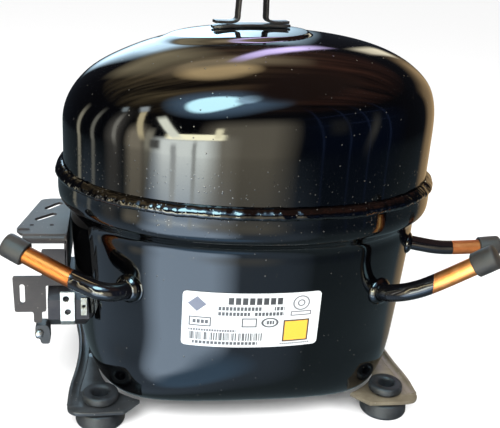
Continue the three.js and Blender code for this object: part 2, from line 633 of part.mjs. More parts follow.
// ---- cylinder block and head --------------------------------------------------------
function cylinderBlock() {
  const bearing = disc(16.5, 112, 141.6);
  const plate = raised(chamferedSquare(54, 16), 132, 140);
  const legs = springPlaces().map(([x, y]) => block(x - 7, x + 7, y - 7, y + 7, STATOR.z1 + GAP, 133));
  const barrel = turnedAlongX([[0, BORE.x0], [BORE.outer, BORE.x0], [BORE.outer, BORE.x1], [0, BORE.x1]],
    0, ROD.axis, 28);
  const face = block(BORE.x1 - 7, BORE.x1, -23, 23, 129, 175);
  const bearingBore = disc(CRANK.shaft + 0.3, 100, 160, 24);
  const cylinderBore = turnedAlongX([[0, 18], [BORE.r, 18], [BORE.r, 90], [0, 90]], 0, ROD.axis, 28);
  const boltHoles = springPlaces().map(([x, y]) => disc(3, 100, 130, 10).translate(x, y, 0));
  return piece('cylinder_block',
    cut(join(plate, bearing, barrel, face, ...legs), bearingBore, cylinderBore, ...boltHoles), IRON);
}

function valvePlate() {
  const x0 = BORE.x1 + 1;
  const plate = block(x0, x0 + 2.4, -23, 23, 129, 175);
  const port = (y, z, r) => turnedAlongX([[0, x0 - 2], [r, x0 - 2], [r, x0 + 5], [0, x0 + 5]], y, z, 12);
  return piece('valve_plate', cut(plate, port(0, 159, 2.6), port(-7, 157, 2.2)), STEEL);
}

function reed(name, x, y) {
  return piece(name, barAlongX([[y - 2.6, 142], [y + 2.6, 142], [y + 3.6, 155], [y + 3.2, 160],
    [y, 162.5], [y - 3.2, 160], [y - 3.6, 155]], x, x + 0.4), ZINC);
}

function cylinderHead() {
  const x0 = BORE.x1 + 3.7;
  const box = barAlongX(octagon(-23, 23, 129, 175, 5), x0, x0 + 13);
  const room = block(x0 - 1, x0 + 8, -14, 12, 140, 165);
  const bolts = [[-18.5, 133.5], [18.5, 133.5], [18.5, 170.5], [-18.5, 170.5]].map(([y, z]) =>
    turnedAlongX([[0, x0 + 12], [4, x0 + 12], [4, x0 + 16], [0, x0 + 16]], y, z, 6));
  return piece('cylinder_head', cut(join(box, ...bolts), room), ALUMINIUM);
}

function suctionMuffler() {
  const shape = chamferedSquare(1, 0.3).map(([u, v]) => [52 + u * 14, 41 + v * 11]);
  const body = raised(shape, 142, 176);
  const snout = barAlongX(octagon(33, 43, 160, 170, 3), 60, 73);
  return piece('suction_muffler', join(body, snout), PALE_PLASTIC);
}

function dischargeLine() {
  const route = [[93.8, -12, 147], [93.5, -24, 143], [84, -38, 136], [66, -50, 126], [36, -60, 118],
    [0, -64, 112], [-30, -62.5, 102], [-50, -56.5, 92], [-58, -50, 86]];
  return piece('discharge_line', along(routeCurve(route), circleShape(2.2, 0, 8), 22), COPPER);
}

// ---- assembly -----------------------------------------------------------------------
const compressor = new THREE.Group();
compressor.add(
  upperShell(), lowerShell(), seamWeld(),
  topStrap(), topEar('top_ear_left', -1), topEar('top_ear_right', 1),
  footPlate('foot_plate_left', -1), footPlate('foot_plate_right', 1),
  grommet('grommet_front_left', -1, -1), grommet('grommet_front_right', 1, -1),
  grommet('grommet_rear_left', -1, 1), grommet('grommet_rear_right', 1, 1),
  ...Object.entries(STUBS).flatMap(([name, stub]) => stubPieces(name, stub)),
  ratingLabel(),
  terminalBracket(), terminalFence(), fenceStrap(), earthTab(), coverClip(), clipScrew(),
  terminalBody(), ...terminalPins(), leadConnector(),
  statorCore(), winding('winding_lower', 33, 49.7), winding('winding_upper', 110.3, 128),
  ...statorBolts(), ...springs(),
  rotorCore(), rotorRing('rotor_ring_lower', STATOR.z0 - GAP - ROTOR.ring),
  rotorRing('rotor_ring_upper', STATOR.z1 + GAP),
  crankshaft(), oilPickup(), crankPin(), connectingRod(), piston(), wristPin(),
  cylinderBlock(), valvePlate(), reed('suction_reed', BORE.x1 + 0.3, 0),
  reed('discharge_reed', BORE.x1 + 3.8, -7), cylinderHead(), suctionMuffler(), dischargeLine(),
);

// The origin goes to the centre of the bottom of the overall box.
const box = new THREE.Box3().setFromObject(compressor);
compressor.position.set(-(box.min.x + box.max.x) / 2, -(box.min.y + box.max.y) / 2, 0);

const group = new THREE.Group();
group.add(compressor);
export default group;
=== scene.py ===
"""The looks of a hermetic reciprocating compressor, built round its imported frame.

Sizes are in millimetres about the centre of the four mounting holes, with +X along the shell,
+Y towards the back and +Z up. Every mesh is made in those units and moved into the frame's metres
as it is finished.
"""

import logging
import math
from collections.abc import Callable, Sequence
from dataclasses import dataclass
from enum import Enum
from typing import Any, ClassVar

import bmesh
import bpy
from mathutils import Matrix, Vector, noise


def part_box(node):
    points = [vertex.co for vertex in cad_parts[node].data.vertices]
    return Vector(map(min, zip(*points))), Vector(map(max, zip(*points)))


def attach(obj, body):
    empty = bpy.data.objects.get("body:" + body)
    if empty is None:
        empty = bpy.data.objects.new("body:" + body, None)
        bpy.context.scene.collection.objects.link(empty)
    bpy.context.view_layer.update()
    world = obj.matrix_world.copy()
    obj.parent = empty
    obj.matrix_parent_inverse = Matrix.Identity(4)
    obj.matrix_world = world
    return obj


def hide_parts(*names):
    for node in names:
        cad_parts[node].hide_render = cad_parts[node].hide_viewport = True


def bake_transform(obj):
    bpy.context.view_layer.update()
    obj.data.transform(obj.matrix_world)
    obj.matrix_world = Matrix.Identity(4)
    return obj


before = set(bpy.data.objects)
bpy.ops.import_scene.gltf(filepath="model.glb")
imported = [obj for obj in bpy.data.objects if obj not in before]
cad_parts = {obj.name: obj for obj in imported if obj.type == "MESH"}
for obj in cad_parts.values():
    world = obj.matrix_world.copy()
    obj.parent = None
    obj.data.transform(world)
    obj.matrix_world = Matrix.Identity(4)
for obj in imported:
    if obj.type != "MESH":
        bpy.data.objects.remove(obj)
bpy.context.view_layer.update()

LOG = logging.getLogger("compressor")
MM = 0.001
SHELL = "shell"
PUMP = "pump"
SPRING_AT = 46.0
TERMINAL_AT = (-110, -6, 58.5)

Track = Callable[[float], Vector]
Point = tuple[float, ...]


def hub() -> Vector:
    """The centre of the four mounting holes on the floor, in the frame's metres."""
    corners = [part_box(f"grommet_{end}_{side}") for end in ("front", "rear") for side in ("left", "right")]
    middle = sum((low + high for low, high in corners), Vector()) / (2 * len(corners))
    return Vector((middle.x, middle.y, 0.0))


HUB = hub()
TO_FRAME = Matrix.Translation(HUB) @ Matrix.Scale(MM, 4)


# ---- shader graphs --------------------------------------------------------------------------


def _operator(operation: str, number_first: bool = False) -> Callable[["Wire", Any], "Wire"]:
    """A method of Wire that adds one Math node over the wire and another value.

    Args:
        operation: the node's operation.
        number_first: whether the other value comes before the wire, as in 1 - mask.

    Returns:
        The method.
    """
    def method(self: "Wire", other: Any) -> "Wire":
        pair = (other, self) if number_first else (self, other)
        return self.graph.node("ShaderNodeMath", {"operation": operation}, dict(enumerate(pair)))

    return method


class Wire:
    """A value in a shader graph, with the operators that its maths is written in."""

    def __init__(self, graph: "Graph", socket: bpy.types.NodeSocket) -> None:
        """Wraps a socket.

        Args:
            graph: the graph that the socket belongs to.
            socket: the output that carries the value.
        """
        self.graph = graph
        self.socket = socket

    __add__, __radd__ = _operator("ADD"), _operator("ADD", number_first=True)
    __sub__, __rsub__ = _operator("SUBTRACT"), _operator("SUBTRACT", number_first=True)
    __mul__, __rmul__ = _operator("MULTIPLY"), _operator("MULTIPLY", number_first=True)
    __truediv__, __pow__ = _operator("DIVIDE"), _operator("POWER")
    __mod__ = _operator("FLOORED_MODULO")
    over, under = _operator("MAXIMUM"), _operator("MINIMUM")

    def __abs__(self) -> "Wire":
        """Size without sign."""
        return self.graph.node("ShaderNodeMath", {"operation": "ABSOLUTE"}, {0: self})

    def step(self, low: float, high: float) -> "Wire":
        """Rises from 0 to 1 as the value goes from low to high, and stays there.

        Args:
            low: where the rise starts.
            high: where it ends; below low turns the step round.

        Returns:
            The clamped share.
        """
        settings = {"operation": "MULTIPLY_ADD", "use_clamp": True}
        inputs = {0: self, 1: 1 / (high - low), 2: -low / (high - low)}
        return self.graph.node("ShaderNodeMath", settings, inputs)


class Graph:
    """Builds the nodes of one material or world."""

    def __init__(self, owner: bpy.types.Material | bpy.types.World) -> None:
        """Starts with an empty tree.

        Args:
            owner: what the nodes are for.
        """
        owner.use_nodes = True
        self.tree = owner.node_tree
        self.tree.nodes.clear()

    def node(self, kind: str, settings: dict[str, Any] | None = None,
             inputs: dict[Any, Any] | None = None, output: Any = 0) -> Wire:
        """Adds any node.

        Args:
            kind: the node's type.
            settings: its own settings; "stops" are a colour ramp's places and colours.
            inputs: socket name or number to a value or a wire.
            output: the name or number of the socket that the wire carries.

        Returns:
            The chosen output.
        """
        made = self.tree.nodes.new(kind)
        for key, value in (settings or {}).items():
            if key == "stops":
                self._set_stops(made.color_ramp, value)
            else:
                setattr(made, key, value)
        for key, value in (inputs or {}).items():
            if isinstance(value, Wire):
                self.tree.links.new(value.socket, made.inputs[key])
            else:
                made.inputs[key].default_value = value
        return Wire(self, made.outputs[output] if made.outputs else None)

    @staticmethod
    def _set_stops(ramp: bpy.types.ColorRamp, stops: Sequence[tuple[float, Sequence[float]]]) -> None:
        """Puts a ramp's stops where they belong."""
        while len(ramp.elements) < len(stops):
            ramp.elements.new(1.0)
        for element, (place, colour) in zip(ramp.elements, stops):
            element.position = place
            element.color = (*colour, 1.0)

    def vector(self, operation: str, *values: Any, output: Any = 0) -> Wire:
        """One Vector Math node."""
        return self.node("ShaderNodeVectorMath", {"operation": operation}, dict(enumerate(values)), output)

    def place(self) -> Wire:
        """Where the surface is, in millimetres about the mounting holes."""
        metres = self.node("ShaderNodeTexCoord", output="Object")
        centred = self.vector("SUBTRACT", metres, tuple(HUB))
        return self.node("ShaderNodeVectorMath", {"operation": "SCALE"}, {0: centred, "Scale": 1 / MM})

    def axes(self, at: Wire) -> tuple[Wire, Wire, Wire]:
        """The three parts of a vector."""
        split = self.node("ShaderNodeSeparateXYZ", inputs={0: at})
        outputs = split.socket.node.outputs
        return Wire(self, outputs[0]), Wire(self, outputs[1]), Wire(self, outputs[2])

    def noise(self, at: Wire, size: float, detail: float = 2.0, rough: float = 0.5,
              stretch: Sequence[float] = (1, 1, 1)) -> Wire:
        """Smooth noise from 0 to 1.

        Args:
            at: the place, in millimetres.
            size: how wide one blob is, in millimetres.
            detail: octaves of finer noise.
            rough: how strong the finer noise is.
            stretch: scale of the place along each axis, to draw the blobs out.

        Returns:
            The noise.
        """
        where = self.vector("MULTIPLY", at, tuple(stretch))
        return self.node("ShaderNodeTexNoise", inputs={
            "Vector": where, "Scale": 1 / size, "Detail": detail, "Roughness": rough})

    def specks(self, at: Wire, size: float, reach: float, share: float) -> Wire:
        """Scattered dots: 1 in each dot's middle, 0 away from it.

        Args:
            at: the place, in millimetres.
            size: how far apart the cells of the scatter are.
            reach: a dot's radius as a share of its cell.
            share: the share of cells that have a dot.

        Returns:
            The mask.
        """
        kind = "ShaderNodeTexVoronoi"
        near = self.node(kind, inputs={"Vector": at, "Scale": 1 / size}, output="Distance")
        cell = self.node(kind, inputs={"Vector": at, "Scale": 1 / size}, output="Color")
        chosen = self.axes(cell)[0].step(share, share - 0.01)
        return near.step(reach, reach * 0.2) * chosen

    def blend(self, factor: Any, first: Any, second: Any) -> Wire:
        """A colour between two colours."""
        return self.node("ShaderNodeMix", {"data_type": "RGBA"}, {0: factor, 6: first, 7: second}, 2)

    def ramp(self, value: Wire, *stops: tuple[float, Sequence[float]]) -> Wire:
        """A colour looked up along stops."""
        return self.node("ShaderNodeValToRGB", {"stops": stops}, {0: value})

    def bump(self, height: Wire, depth: float, after: Wire | None = None) -> Wire:
        """A normal from a height.

        Args:
            height: the height, from 0 to 1.
            depth: what a height of 1 stands for, in millimetres.
            after: a normal that this one is laid over.

        Returns:
            The normal.
        """
        inputs = {"Height": height, "Distance": depth * MM, "Strength": 1.0}
        if after is not None:
            inputs["Normal"] = after
        return self.node("ShaderNodeBump", inputs=inputs)

    def surface(self, **inputs: Any) -> None:
        """Ends a material in one Principled shader.

        Args:
            **inputs: socket names, with _ for a space, to values or wires.
        """
        named = {key.replace("_", " "): value for key, value in inputs.items()}
        shader = self.node("ShaderNodeBsdfPrincipled", inputs=named)
        self.node("ShaderNodeOutputMaterial", inputs={"Surface": shader})


# ---- finishes -------------------------------------------------------------------------------


def colour(red: float, green: float, blue: float) -> tuple[float, float, float, float]:
    """A linear colour with full alpha."""
    return (red, green, blue, 1.0)


class Finish:
    """A surface finish that makes its material once and hands it out after that."""

    _made: ClassVar[dict[str, bpy.types.Material]] = {}

    def material(self) -> bpy.types.Material:
        """This finish's material."""
        key = repr(self)
        if key not in Finish._made:
            made = bpy.data.materials.new(type(self).__name__.lower())
            self.build(Graph(made))
            Finish._made[key] = made
        return Finish._made[key]

    def build(self, graph: Graph) -> None:
        """Adds the nodes; each finish has its own."""
        raise NotImplementedError


@dataclass(frozen=True)
class Enamel(Finish):
    """Glossy black stoving enamel over drawn steel, with dust and spatter baked in.

    Attributes:
        peel: depth of the orange peel, in millimetres.
        draw: depth of the slow waves that drawing leaves in the sheet.
        seam: height of the weld that the spatter comes from.
        haze: roughness of a clean patch.
    """

    peel: float = 0.0032
    draw: float = 0.03
    seam: float = 134.0
    haze: float = 0.045

    def build(self, graph: Graph) -> None:
        """Adds the nodes."""
        at = graph.place()
        height = graph.axes(at)[2]
        near_seam = abs(height - self.seam).step(26, 2)
        dust = graph.specks(at, 3.0, 0.15, 0.2)
        spatter = graph.specks(at, 1.9, 0.24, 0.5) * near_seam
        film = graph.noise(at, 42, 4, 0.6)
        smear = graph.noise(at, 9, 5, 0.65, (1, 1, 0.25)).step(0.5, 0.78)
        waves = graph.bump(graph.noise(at, 26, 1, 0.4, (1, 1, 0.35)), self.draw)
        peel = graph.bump(graph.noise(at, 1.5, 2, 0.55), self.peel, waves)
        nibs = graph.bump((dust + spatter).under(1.0), 0.07, peel)
        base = graph.blend(film.step(0.35, 0.75),
                           colour(0.0002, 0.0002, 0.0003), colour(0.0006, 0.0007, 0.0010))
        grit = (dust * 0.5 + spatter * graph.noise(at, 5, 2).step(0.45, 0.7)).under(1.0)
        specked = graph.blend(grit, base, colour(0.13, 0.125, 0.11))
        graph.surface(Base_Color=specked, Roughness=self.haze + film * 0.035 + smear * 0.035 + dust * 0.3,
                      Normal=nibs, IOR=1.5)


@dataclass(frozen=True)
class PaintedCopper(Finish):
    """A drawn copper tube whose first stretch took the shell's enamel.

    Attributes:
        edge: a point on the paint's edge.
        along: the way out along the tube there, leaned over as the edge is.
        heat: how far brazing has browned the copper, from 0 to 1.
        dull: how far its colour is pulled towards a dark brown, from 0 to 1.
    """

    edge: Point
    along: Point
    heat: float
    dull: float = 0.0

    def build(self, graph: Graph) -> None:
        """Adds the nodes."""
        at = graph.place()
        out = graph.vector("DOT_PRODUCT", graph.vector("SUBTRACT", at, self.edge), self.along, output="Value")
        ragged = out + graph.noise(at, 2.2, 3, 0.6) * 1.1 - 0.55
        bare = ragged.step(-0.12, 0.12)
        blush = ragged.step(9.0, 0.0)
        grain = graph.noise(at, 0.7, 3, 0.6)
        stain = graph.noise(at, 6.5, 4, 0.62)
        fresh = graph.ramp(stain, (0.25, (0.80, 0.255, 0.055)), (0.5, (0.93, 0.36, 0.105)),
                           (0.8, (0.97, 0.47, 0.19)))
        brown = graph.ramp(stain, (0.2, (0.15, 0.04, 0.013)), (0.55, (0.22, 0.062, 0.02)),
                           (0.8, (0.34, 0.11, 0.042)))
        metal = graph.blend(self.dull, graph.blend(self.heat, fresh, brown), colour(0.26, 0.075, 0.017))
        tint = graph.blend(blush * 0.45, metal, colour(0.36, 0.10, 0.03))
        specks = graph.specks(at, 2.1, 0.14, 0.3)
        marked = graph.blend(specks * 0.7, tint, colour(0.10, 0.035, 0.015))
        skin = graph.blend(bare, colour(0.003, 0.003, 0.0038), marked)
        lip = graph.bump(bare, -0.09)
        worn = graph.bump(grain, 0.006, lip)
        rough = bare * (0.27 + 0.12 * self.heat) + 0.06 + stain * bare * 0.12 + grain * bare * 0.06
        graph.surface(Base_Color=skin, Metallic=bare * (1 - 0.15 * self.heat), Roughness=rough, Normal=worn)


@dataclass(frozen=True)
class Rubber(Finish):
    """Moulded black rubber with a dusty bloom.

    Attributes:
        tone: the clean rubber's colour.
        bloom: the dust's colour.
    """

    tone: Point = (0.005, 0.0054, 0.0064)
    bloom: Point = (0.034, 0.036, 0.041)

    def build(self, graph: Graph) -> None:
        """Adds the nodes."""
        at = graph.place()
        patches = graph.noise(at, 7, 4, 0.65)
        grain = graph.noise(at, 0.35, 3, 0.7)
        scuffs = graph.noise(at, 2.5, 4, 0.7, (1, 1, 0.3)).step(0.55, 0.75)
        dust = (patches.step(0.38, 0.78) * 0.6 + scuffs * 0.35).under(1.0)
        tone = graph.blend(dust, colour(*self.tone), colour(*self.bloom))
        normal = graph.bump(grain, 0.03, graph.bump(patches, 0.12))
        graph.surface(Base_Color=tone, Roughness=0.5 + dust * 0.28 + grain * 0.08, Normal=normal)


@dataclass(frozen=True)
class SheetSteel(Finish):
    """Pressed steel sheet under a thin dark finish.

    Attributes:
        dark: the finish where it is thick.
        light: the finish where it is thin.
        metal: how metallic it looks.
        rough: its mean roughness.
        grain: which way the rolling marks run, as a stretch of the noise.
    """

    dark: Point = (0.055, 0.052, 0.052)
    light: Point = (0.15, 0.135, 0.125)
    metal: float = 0.75
    rough: float = 0.3
    grain: Point = (0.08, 1.0, 1.0)

    def build(self, graph: Graph) -> None:
        """Adds the nodes."""
        at = graph.place()
        cloud = graph.noise(at, 14, 4, 0.6)
        rolled = graph.noise(at, 0.9, 3, 0.6, self.grain)
        grit = graph.specks(at, 2.6, 0.16, 0.22)
        tone = graph.blend(cloud.step(0.3, 0.72) * 0.75 + rolled * 0.25,
                           colour(*self.dark), colour(*self.light))
        marked = graph.blend(grit * 0.6, tone, colour(0.3, 0.28, 0.25))
        rough = self.rough + cloud * 0.14 + rolled * 0.1
        normal = graph.bump(rolled, 0.008, graph.bump(cloud, 0.05))
        graph.surface(Base_Color=marked, Metallic=self.metal, Roughness=rough, Normal=normal, IOR=1.3)


@dataclass(frozen=True)
class Zinc(Finish):
    """Bright zinc plating with faint spangle and handling marks.

    Attributes:
        tone: the plating's colour.
    """

    tone: Point = (0.62, 0.61, 0.56)

    def build(self, graph: Graph) -> None:
        """Adds the nodes."""
        at = graph.place()
        spangle = graph.node("ShaderNodeTexVoronoi", inputs={"Vector": at, "Scale": 0.45}, output="Color")
        cell = graph.axes(spangle)[0]
        marks = graph.noise(at, 3.5, 5, 0.7)
        tone = graph.blend(marks.step(0.42, 0.75), colour(*self.tone), colour(0.30, 0.29, 0.26))
        shaded = graph.blend(cell * 0.25, tone, colour(0.75, 0.77, 0.78))
        normal = graph.bump(graph.noise(at, 0.6, 2), 0.01)
        graph.surface(Base_Color=shaded, Metallic=0.9, Roughness=0.26 + marks * 0.22 + cell * 0.06,
                      Normal=normal)


@dataclass(frozen=True)
class Cast(Finish):
    """A casting: sand-rough or die-smooth, with machined faces left plain.

    Attributes:
        tone: the bare metal's colour.
        stain: the colour of its oil stains.
        pit: depth of the skin's grain, in millimetres.
        size: width of that grain.
    """

    tone: Point
    stain: Point
    pit: float = 0.12
    size: float = 0.8

    def build(self, graph: Graph) -> None:
        """Adds the nodes."""
        at = graph.place()
        skin = graph.noise(at, self.size, 4, 0.65)
        oil = graph.noise(at, 11, 4, 0.6).step(0.42, 0.7)
        tone = graph.blend(oil, colour(*self.tone), colour(*self.stain))
        graph.surface(Base_Color=tone, Metallic=0.85, Roughness=0.42 + skin * 0.2 - oil * 0.12,
                      Normal=graph.bump(skin, self.pit))


@dataclass(frozen=True)
class Ground(Finish):
    """Ground or drawn steel with fine marks round it and a film of oil.

    Attributes:
        tone: the steel's colour.
        pitch: spacing of the marks along Z, in millimetres.
    """

    tone: Point = (0.42, 0.42, 0.43)
    pitch: float = 0.35

    def build(self, graph: Graph) -> None:
        """Adds the nodes."""
        at = graph.place()
        marks = graph.noise(at, self.pitch, 2, 0.5, (0.15, 0.15, 1.0))
        film = graph.noise(at, 8, 3, 0.6)
        tone = graph.blend(film.step(0.4, 0.7), colour(*self.tone), colour(0.28, 0.25, 0.2))
        graph.surface(Base_Color=tone, Metallic=1.0, Roughness=0.2 + marks * 0.14 + film * 0.06,
                      Normal=graph.bump(marks, 0.006))


@dataclass(frozen=True)
class Laminations(Finish):
    """A stack of blued electrical steel sheets seen on edge.

    Attributes:
        sheet: thickness of one sheet, in millimetres.
    """

    sheet: float = 1.0

    def build(self, graph: Graph) -> None:
        """Adds the nodes."""
        at = graph.place()
        height = graph.axes(at)[2]
        layer = abs((height % self.sheet) - self.sheet / 2) / (self.sheet / 2)
        blue = graph.noise(at, 16, 3, 0.6)
        tone = graph.blend(blue, colour(0.10, 0.105, 0.12), colour(0.16, 0.15, 0.14))
        edge = layer.step(0.7, 1.0)
        seamed = graph.blend(edge, tone, colour(0.03, 0.028, 0.027))
        graph.surface(Base_Color=seamed, Metallic=0.8, Roughness=0.42 + edge * 0.3,
                      Normal=graph.bump(1 - edge, 0.12))


@dataclass(frozen=True)
class MagnetWire(Finish):
    """Varnished copper winding wire laid side by side.

    Attributes:
        wire: the wire's diameter, in millimetres.
        varnish: the varnish's colour.
    """

    wire: float = 0.8
    varnish: Point = (0.30, 0.085, 0.022)

    def build(self, graph: Graph) -> None:
        """Adds the nodes."""
        at = graph.place()
        x, y, z = graph.axes(at)
        wander = graph.noise(at, 9, 2) * 2.4
        strand = ((x * x + y * y) ** 0.5 + z * 0.6 + wander) / self.wire
        crown = abs((strand % 1.0) - 0.5) * 2.0
        pool = graph.noise(at, 6, 4, 0.6)
        tone = graph.blend(pool, colour(*self.varnish), colour(0.55, 0.2, 0.06))
        # The grooves between strands are painted dark: this is painted shade where the round wires meet, not
        # a colour of the wire.
        gap_shaded = graph.blend(crown.step(0.72, 1.0), tone, colour(0.06, 0.018, 0.006))
        graph.surface(Base_Color=gap_shaded, Metallic=0.45, Roughness=0.26 + pool * 0.2, Coat_Weight=0.4,
                      Normal=graph.bump(1 - crown * crown, 0.22))


@dataclass(frozen=True)
class Moulding(Finish):
    """Moulded thermoplastic with a fine spark-eroded grain.

    Attributes:
        tone: the plastic's colour.
        rough: its mean roughness.
    """

    tone: Point = (0.012, 0.012, 0.014)
    rough: float = 0.42

    def build(self, graph: Graph) -> None:
        """Adds the nodes."""
        at = graph.place()
        grain = graph.noise(at, 0.45, 2, 0.6)
        rub = graph.noise(at, 5, 4, 0.65).step(0.5, 0.8)
        lighter = tuple(min(1.0, part * 1.9 + 0.01) for part in self.tone)
        tone = graph.blend(rub * 0.7, colour(*self.tone), colour(*lighter))
        graph.surface(Base_Color=tone, Roughness=self.rough + grain * 0.12 - rub * 0.1,
                      Normal=graph.bump(grain, 0.03))


class Mark(Enum):
    """The shapes that the rating label's generic print is made of."""

    BARS = "a row of blocks"
    STRIPES = "uneven upright stripes"
    FRAME = "an outlined box"
    RING = "an outlined oval"
    TILE = "a filled box with a dark border"
    LOZENGE = "a filled diamond"


@dataclass(frozen=True)
class Stamp:
    """One printed mark.

    Attributes:
        mark: its shape.
        x: its centre along the label.
        z: its centre in height.
        width: its width.
        height: its height.
        pitch: spacing of its blocks or stripes.
        ink: its colour.
    """

    mark: Mark
    x: float
    z: float
    width: float
    height: float
    pitch: float = 1.0
    ink: Point = (0.045, 0.047, 0.052)


@dataclass(frozen=True)
class Print(Finish):
    """White coated label stock, printed with plain blocks in place of any words or marks."""

    line: ClassVar[float] = 0.7
    stamps: ClassVar[tuple[Stamp, ...]] = (
        Stamp(Mark.LOZENGE, -33.3, 81.6, 9.6, 8.8, ink=(0.10, 0.11, 0.15)),
        Stamp(Mark.BARS, -3.5, 84.0, 29.2, 4.0, 3.65, (0.02, 0.02, 0.022)),
        Stamp(Mark.BARS, -11.5, 79.6, 22.8, 2.2, 1.9),
        Stamp(Mark.BARS, 9.5, 79.6, 5.4, 2.2, 1.9),
        Stamp(Mark.BARS, -14.4, 76.5, 17.0, 2.1, 1.9),
        Stamp(Mark.BARS, 4.3, 76.5, 15.8, 2.1, 1.9),
        Stamp(Mark.FRAME, -31.5, 71.4, 11.4, 5.6),
        Stamp(Mark.BARS, -31.5, 71.4, 8.4, 2.2, 2.1),
        Stamp(Mark.FRAME, -5.9, 71.4, 8.0, 5.4),
        Stamp(Mark.RING, 5.0, 71.4, 9.2, 5.8),
        Stamp(Mark.BARS, 5.0, 71.4, 4.6, 2.2, 1.5),
        Stamp(Mark.BARS, -25.0, 66.4, 24.4, 1.3, 1.35, (0.09, 0.09, 0.1)),
        Stamp(Mark.STRIPES, -17.9, 62.8, 38.6, 4.6, 0.62, (0.03, 0.03, 0.032)),
        Stamp(Mark.BARS, -18.0, 58.9, 34.0, 1.8, 2.0),
        Stamp(Mark.RING, 21.2, 82.4, 9.2, 8.6, ink=(0.12, 0.12, 0.13)),
        Stamp(Mark.RING, 21.2, 82.4, 4.2, 4.0, ink=(0.12, 0.12, 0.13)),
        Stamp(Mark.FRAME, 21.4, 76.3, 11.4, 2.8, ink=(0.12, 0.12, 0.13)),
        Stamp(Mark.TILE, 19.4, 66.0, 12.4, 11.4, ink=(0.85, 0.40, 0.03)),
        Stamp(Mark.BARS, 19.4, 58.2, 16.6, 0.9, 1.1, (0.12, 0.12, 0.13)),
    )

    def build(self, graph: Graph) -> None:
        """Adds the nodes."""
        at = graph.place()
        x, _, z = graph.axes(at)
        fibre = graph.noise(at, 1.2, 4, 0.65)
        age = graph.noise(at, 18, 3, 0.6)
        paper = graph.blend(age, colour(0.62, 0.645, 0.64), colour(0.54, 0.57, 0.575))
        for stamp in self.stamps:
            if stamp.mark is Mark.TILE:
                border = self._box(x, z, stamp, 0.9)
                paper = graph.blend(border, paper, colour(0.06, 0.045, 0.03))
            faded = self._mask(graph, x, z, stamp) * (0.95 + fibre * 0.05)
            paper = graph.blend(faded, paper, colour(*stamp.ink))
        graph.surface(Base_Color=paper, Roughness=0.3 + fibre * 0.15, Normal=graph.bump(fibre, 0.012))

    def _box(self, x: Wire, z: Wire, stamp: Stamp, grow: float = 0.0) -> Wire:
        """1 inside a stamp's box, grown by a margin."""
        soft = 0.1
        across = (abs(x - stamp.x) - stamp.width / 2 - grow).step(soft, -soft)
        up = (abs(z - stamp.z) - stamp.height / 2 - grow).step(soft, -soft)
        return across * up

    def _mask(self, graph: Graph, x: Wire, z: Wire, stamp: Stamp) -> Wire:
        """1 where a stamp leaves ink.

        Args:
            graph: the material's graph.
            x: place along the label.
            z: place in height.
            stamp: the mark.

        Returns:
            The mask.
        """
        box = self._box(x, z, stamp)
        if stamp.mark is Mark.FRAME:
            return box - self._box(x, z, stamp, -self.line)
        if stamp.mark is Mark.BARS:
            return box * (x % stamp.pitch).step(stamp.pitch * 0.2, stamp.pitch * 0.26)
        if stamp.mark is Mark.STRIPES:
            row = graph.node("ShaderNodeCombineXYZ", inputs={0: x})
            return box * graph.noise(row, stamp.pitch, 0).step(0.46, 0.52)
        if stamp.mark is Mark.RING:
            reach = (((x - stamp.x) / (stamp.width / 2)) ** 2
                     + ((z - stamp.z) / (stamp.height / 2)) ** 2) ** 0.5
            line = 2 * self.line / stamp.height
            return abs(reach - 1 + line / 2).step(line * 0.7, line * 0.4)
        if stamp.mark is Mark.LOZENGE:
            reach = abs(x - stamp.x) / (stamp.width / 2) + abs(z - stamp.z) / (stamp.height / 2)
            return reach.step(1.02, 0.98)
        return box


# ---- mesh tools -----------------------------------------------------------------------------


def oval(turn: float, a: float, b: float, power: float) -> Vector:
    """A point of a rounded oval.

    Args:
        turn: how far round, from 0 to 1, counter-clockwise from +X.
        a: half length along X.
        b: half depth along Y.
        power: 2 for an ellipse, more for squarer corners.

    Returns:
        The point, at height 0.
    """
    c, s = math.cos(math.tau * turn), math.sin(math.tau * turn)
    x, y = (math.copysign(half * abs(part) ** (2 / power), part) for half, part in ((a, c), (b, s)))
    return Vector((x, y, 0))


def ease(value: float) -> float:
    """A smooth step from 0 to 1."""
    held = min(1.0, max(0.0, value))
    return held * held * (3 - 2 * held)


def spread(low: float, high: float, count: int) -> list[float]:
    """Evenly spaced values, both ends among them."""
    return [low + (high - low) * i / (count - 1) for i in range(count)]


def flowing(points: Sequence[Sequence[float]], steps: int) -> list[Vector]:
    """A smooth line through points, without overshoot at uneven gaps.

    Args:
        points: the points, of any number of dimensions.
        steps: stretches between two points.

    Returns:
        The line's points.
    """
    given = [Vector(p) for p in points]
    line = [2 * given[0] - given[1], *given, 2 * given[-1] - given[-2]]
    made = []
    for before, start, end, after in zip(line, line[1:], line[2:], line[3:]):
        gaps = ((before, start), (start, end), (end, after))
        first, middle, last = ((q - p).length ** 0.5 for p, q in gaps)
        lead = (start - before) / first - (end - before) / (first + middle) + (end - start) / middle
        trail = (end - start) / middle - (after - start) / (middle + last) + (after - end) / last
        lead, trail = lead * middle, trail * middle
        bend = 3 * (end - start) - 2 * lead - trail
        close = 2 * (start - end) + lead + trail
        made += [start + lead * t + bend * t**2 + close * t**3 for t in (i / steps for i in range(steps))]
    return [*made, given[-1]]


def rounded(points: Sequence[Sequence[float]], radius: float, steps: int = 4) -> list[Vector]:
    """A flat closed outline with its corners rounded.

    Args:
        points: the corners.
        radius: how far from a corner its rounding starts.
        steps: stretches in each rounding.

    Returns:
        The rounded outline.
    """
    corners = [Vector(p) for p in points]
    made = []
    for i, corner in enumerate(corners):
        ends = []
        for other in (corners[i - 1], corners[(i + 1) % len(corners)]):
            side = other - corner
            ends.append(corner + side.normalized() * min(radius, side.length * 0.48))
        for t in spread(0, 1, steps + 1):
            made.append(ends[0].lerp(corner, t).lerp(corner.lerp(ends[1], t), t))
    return made


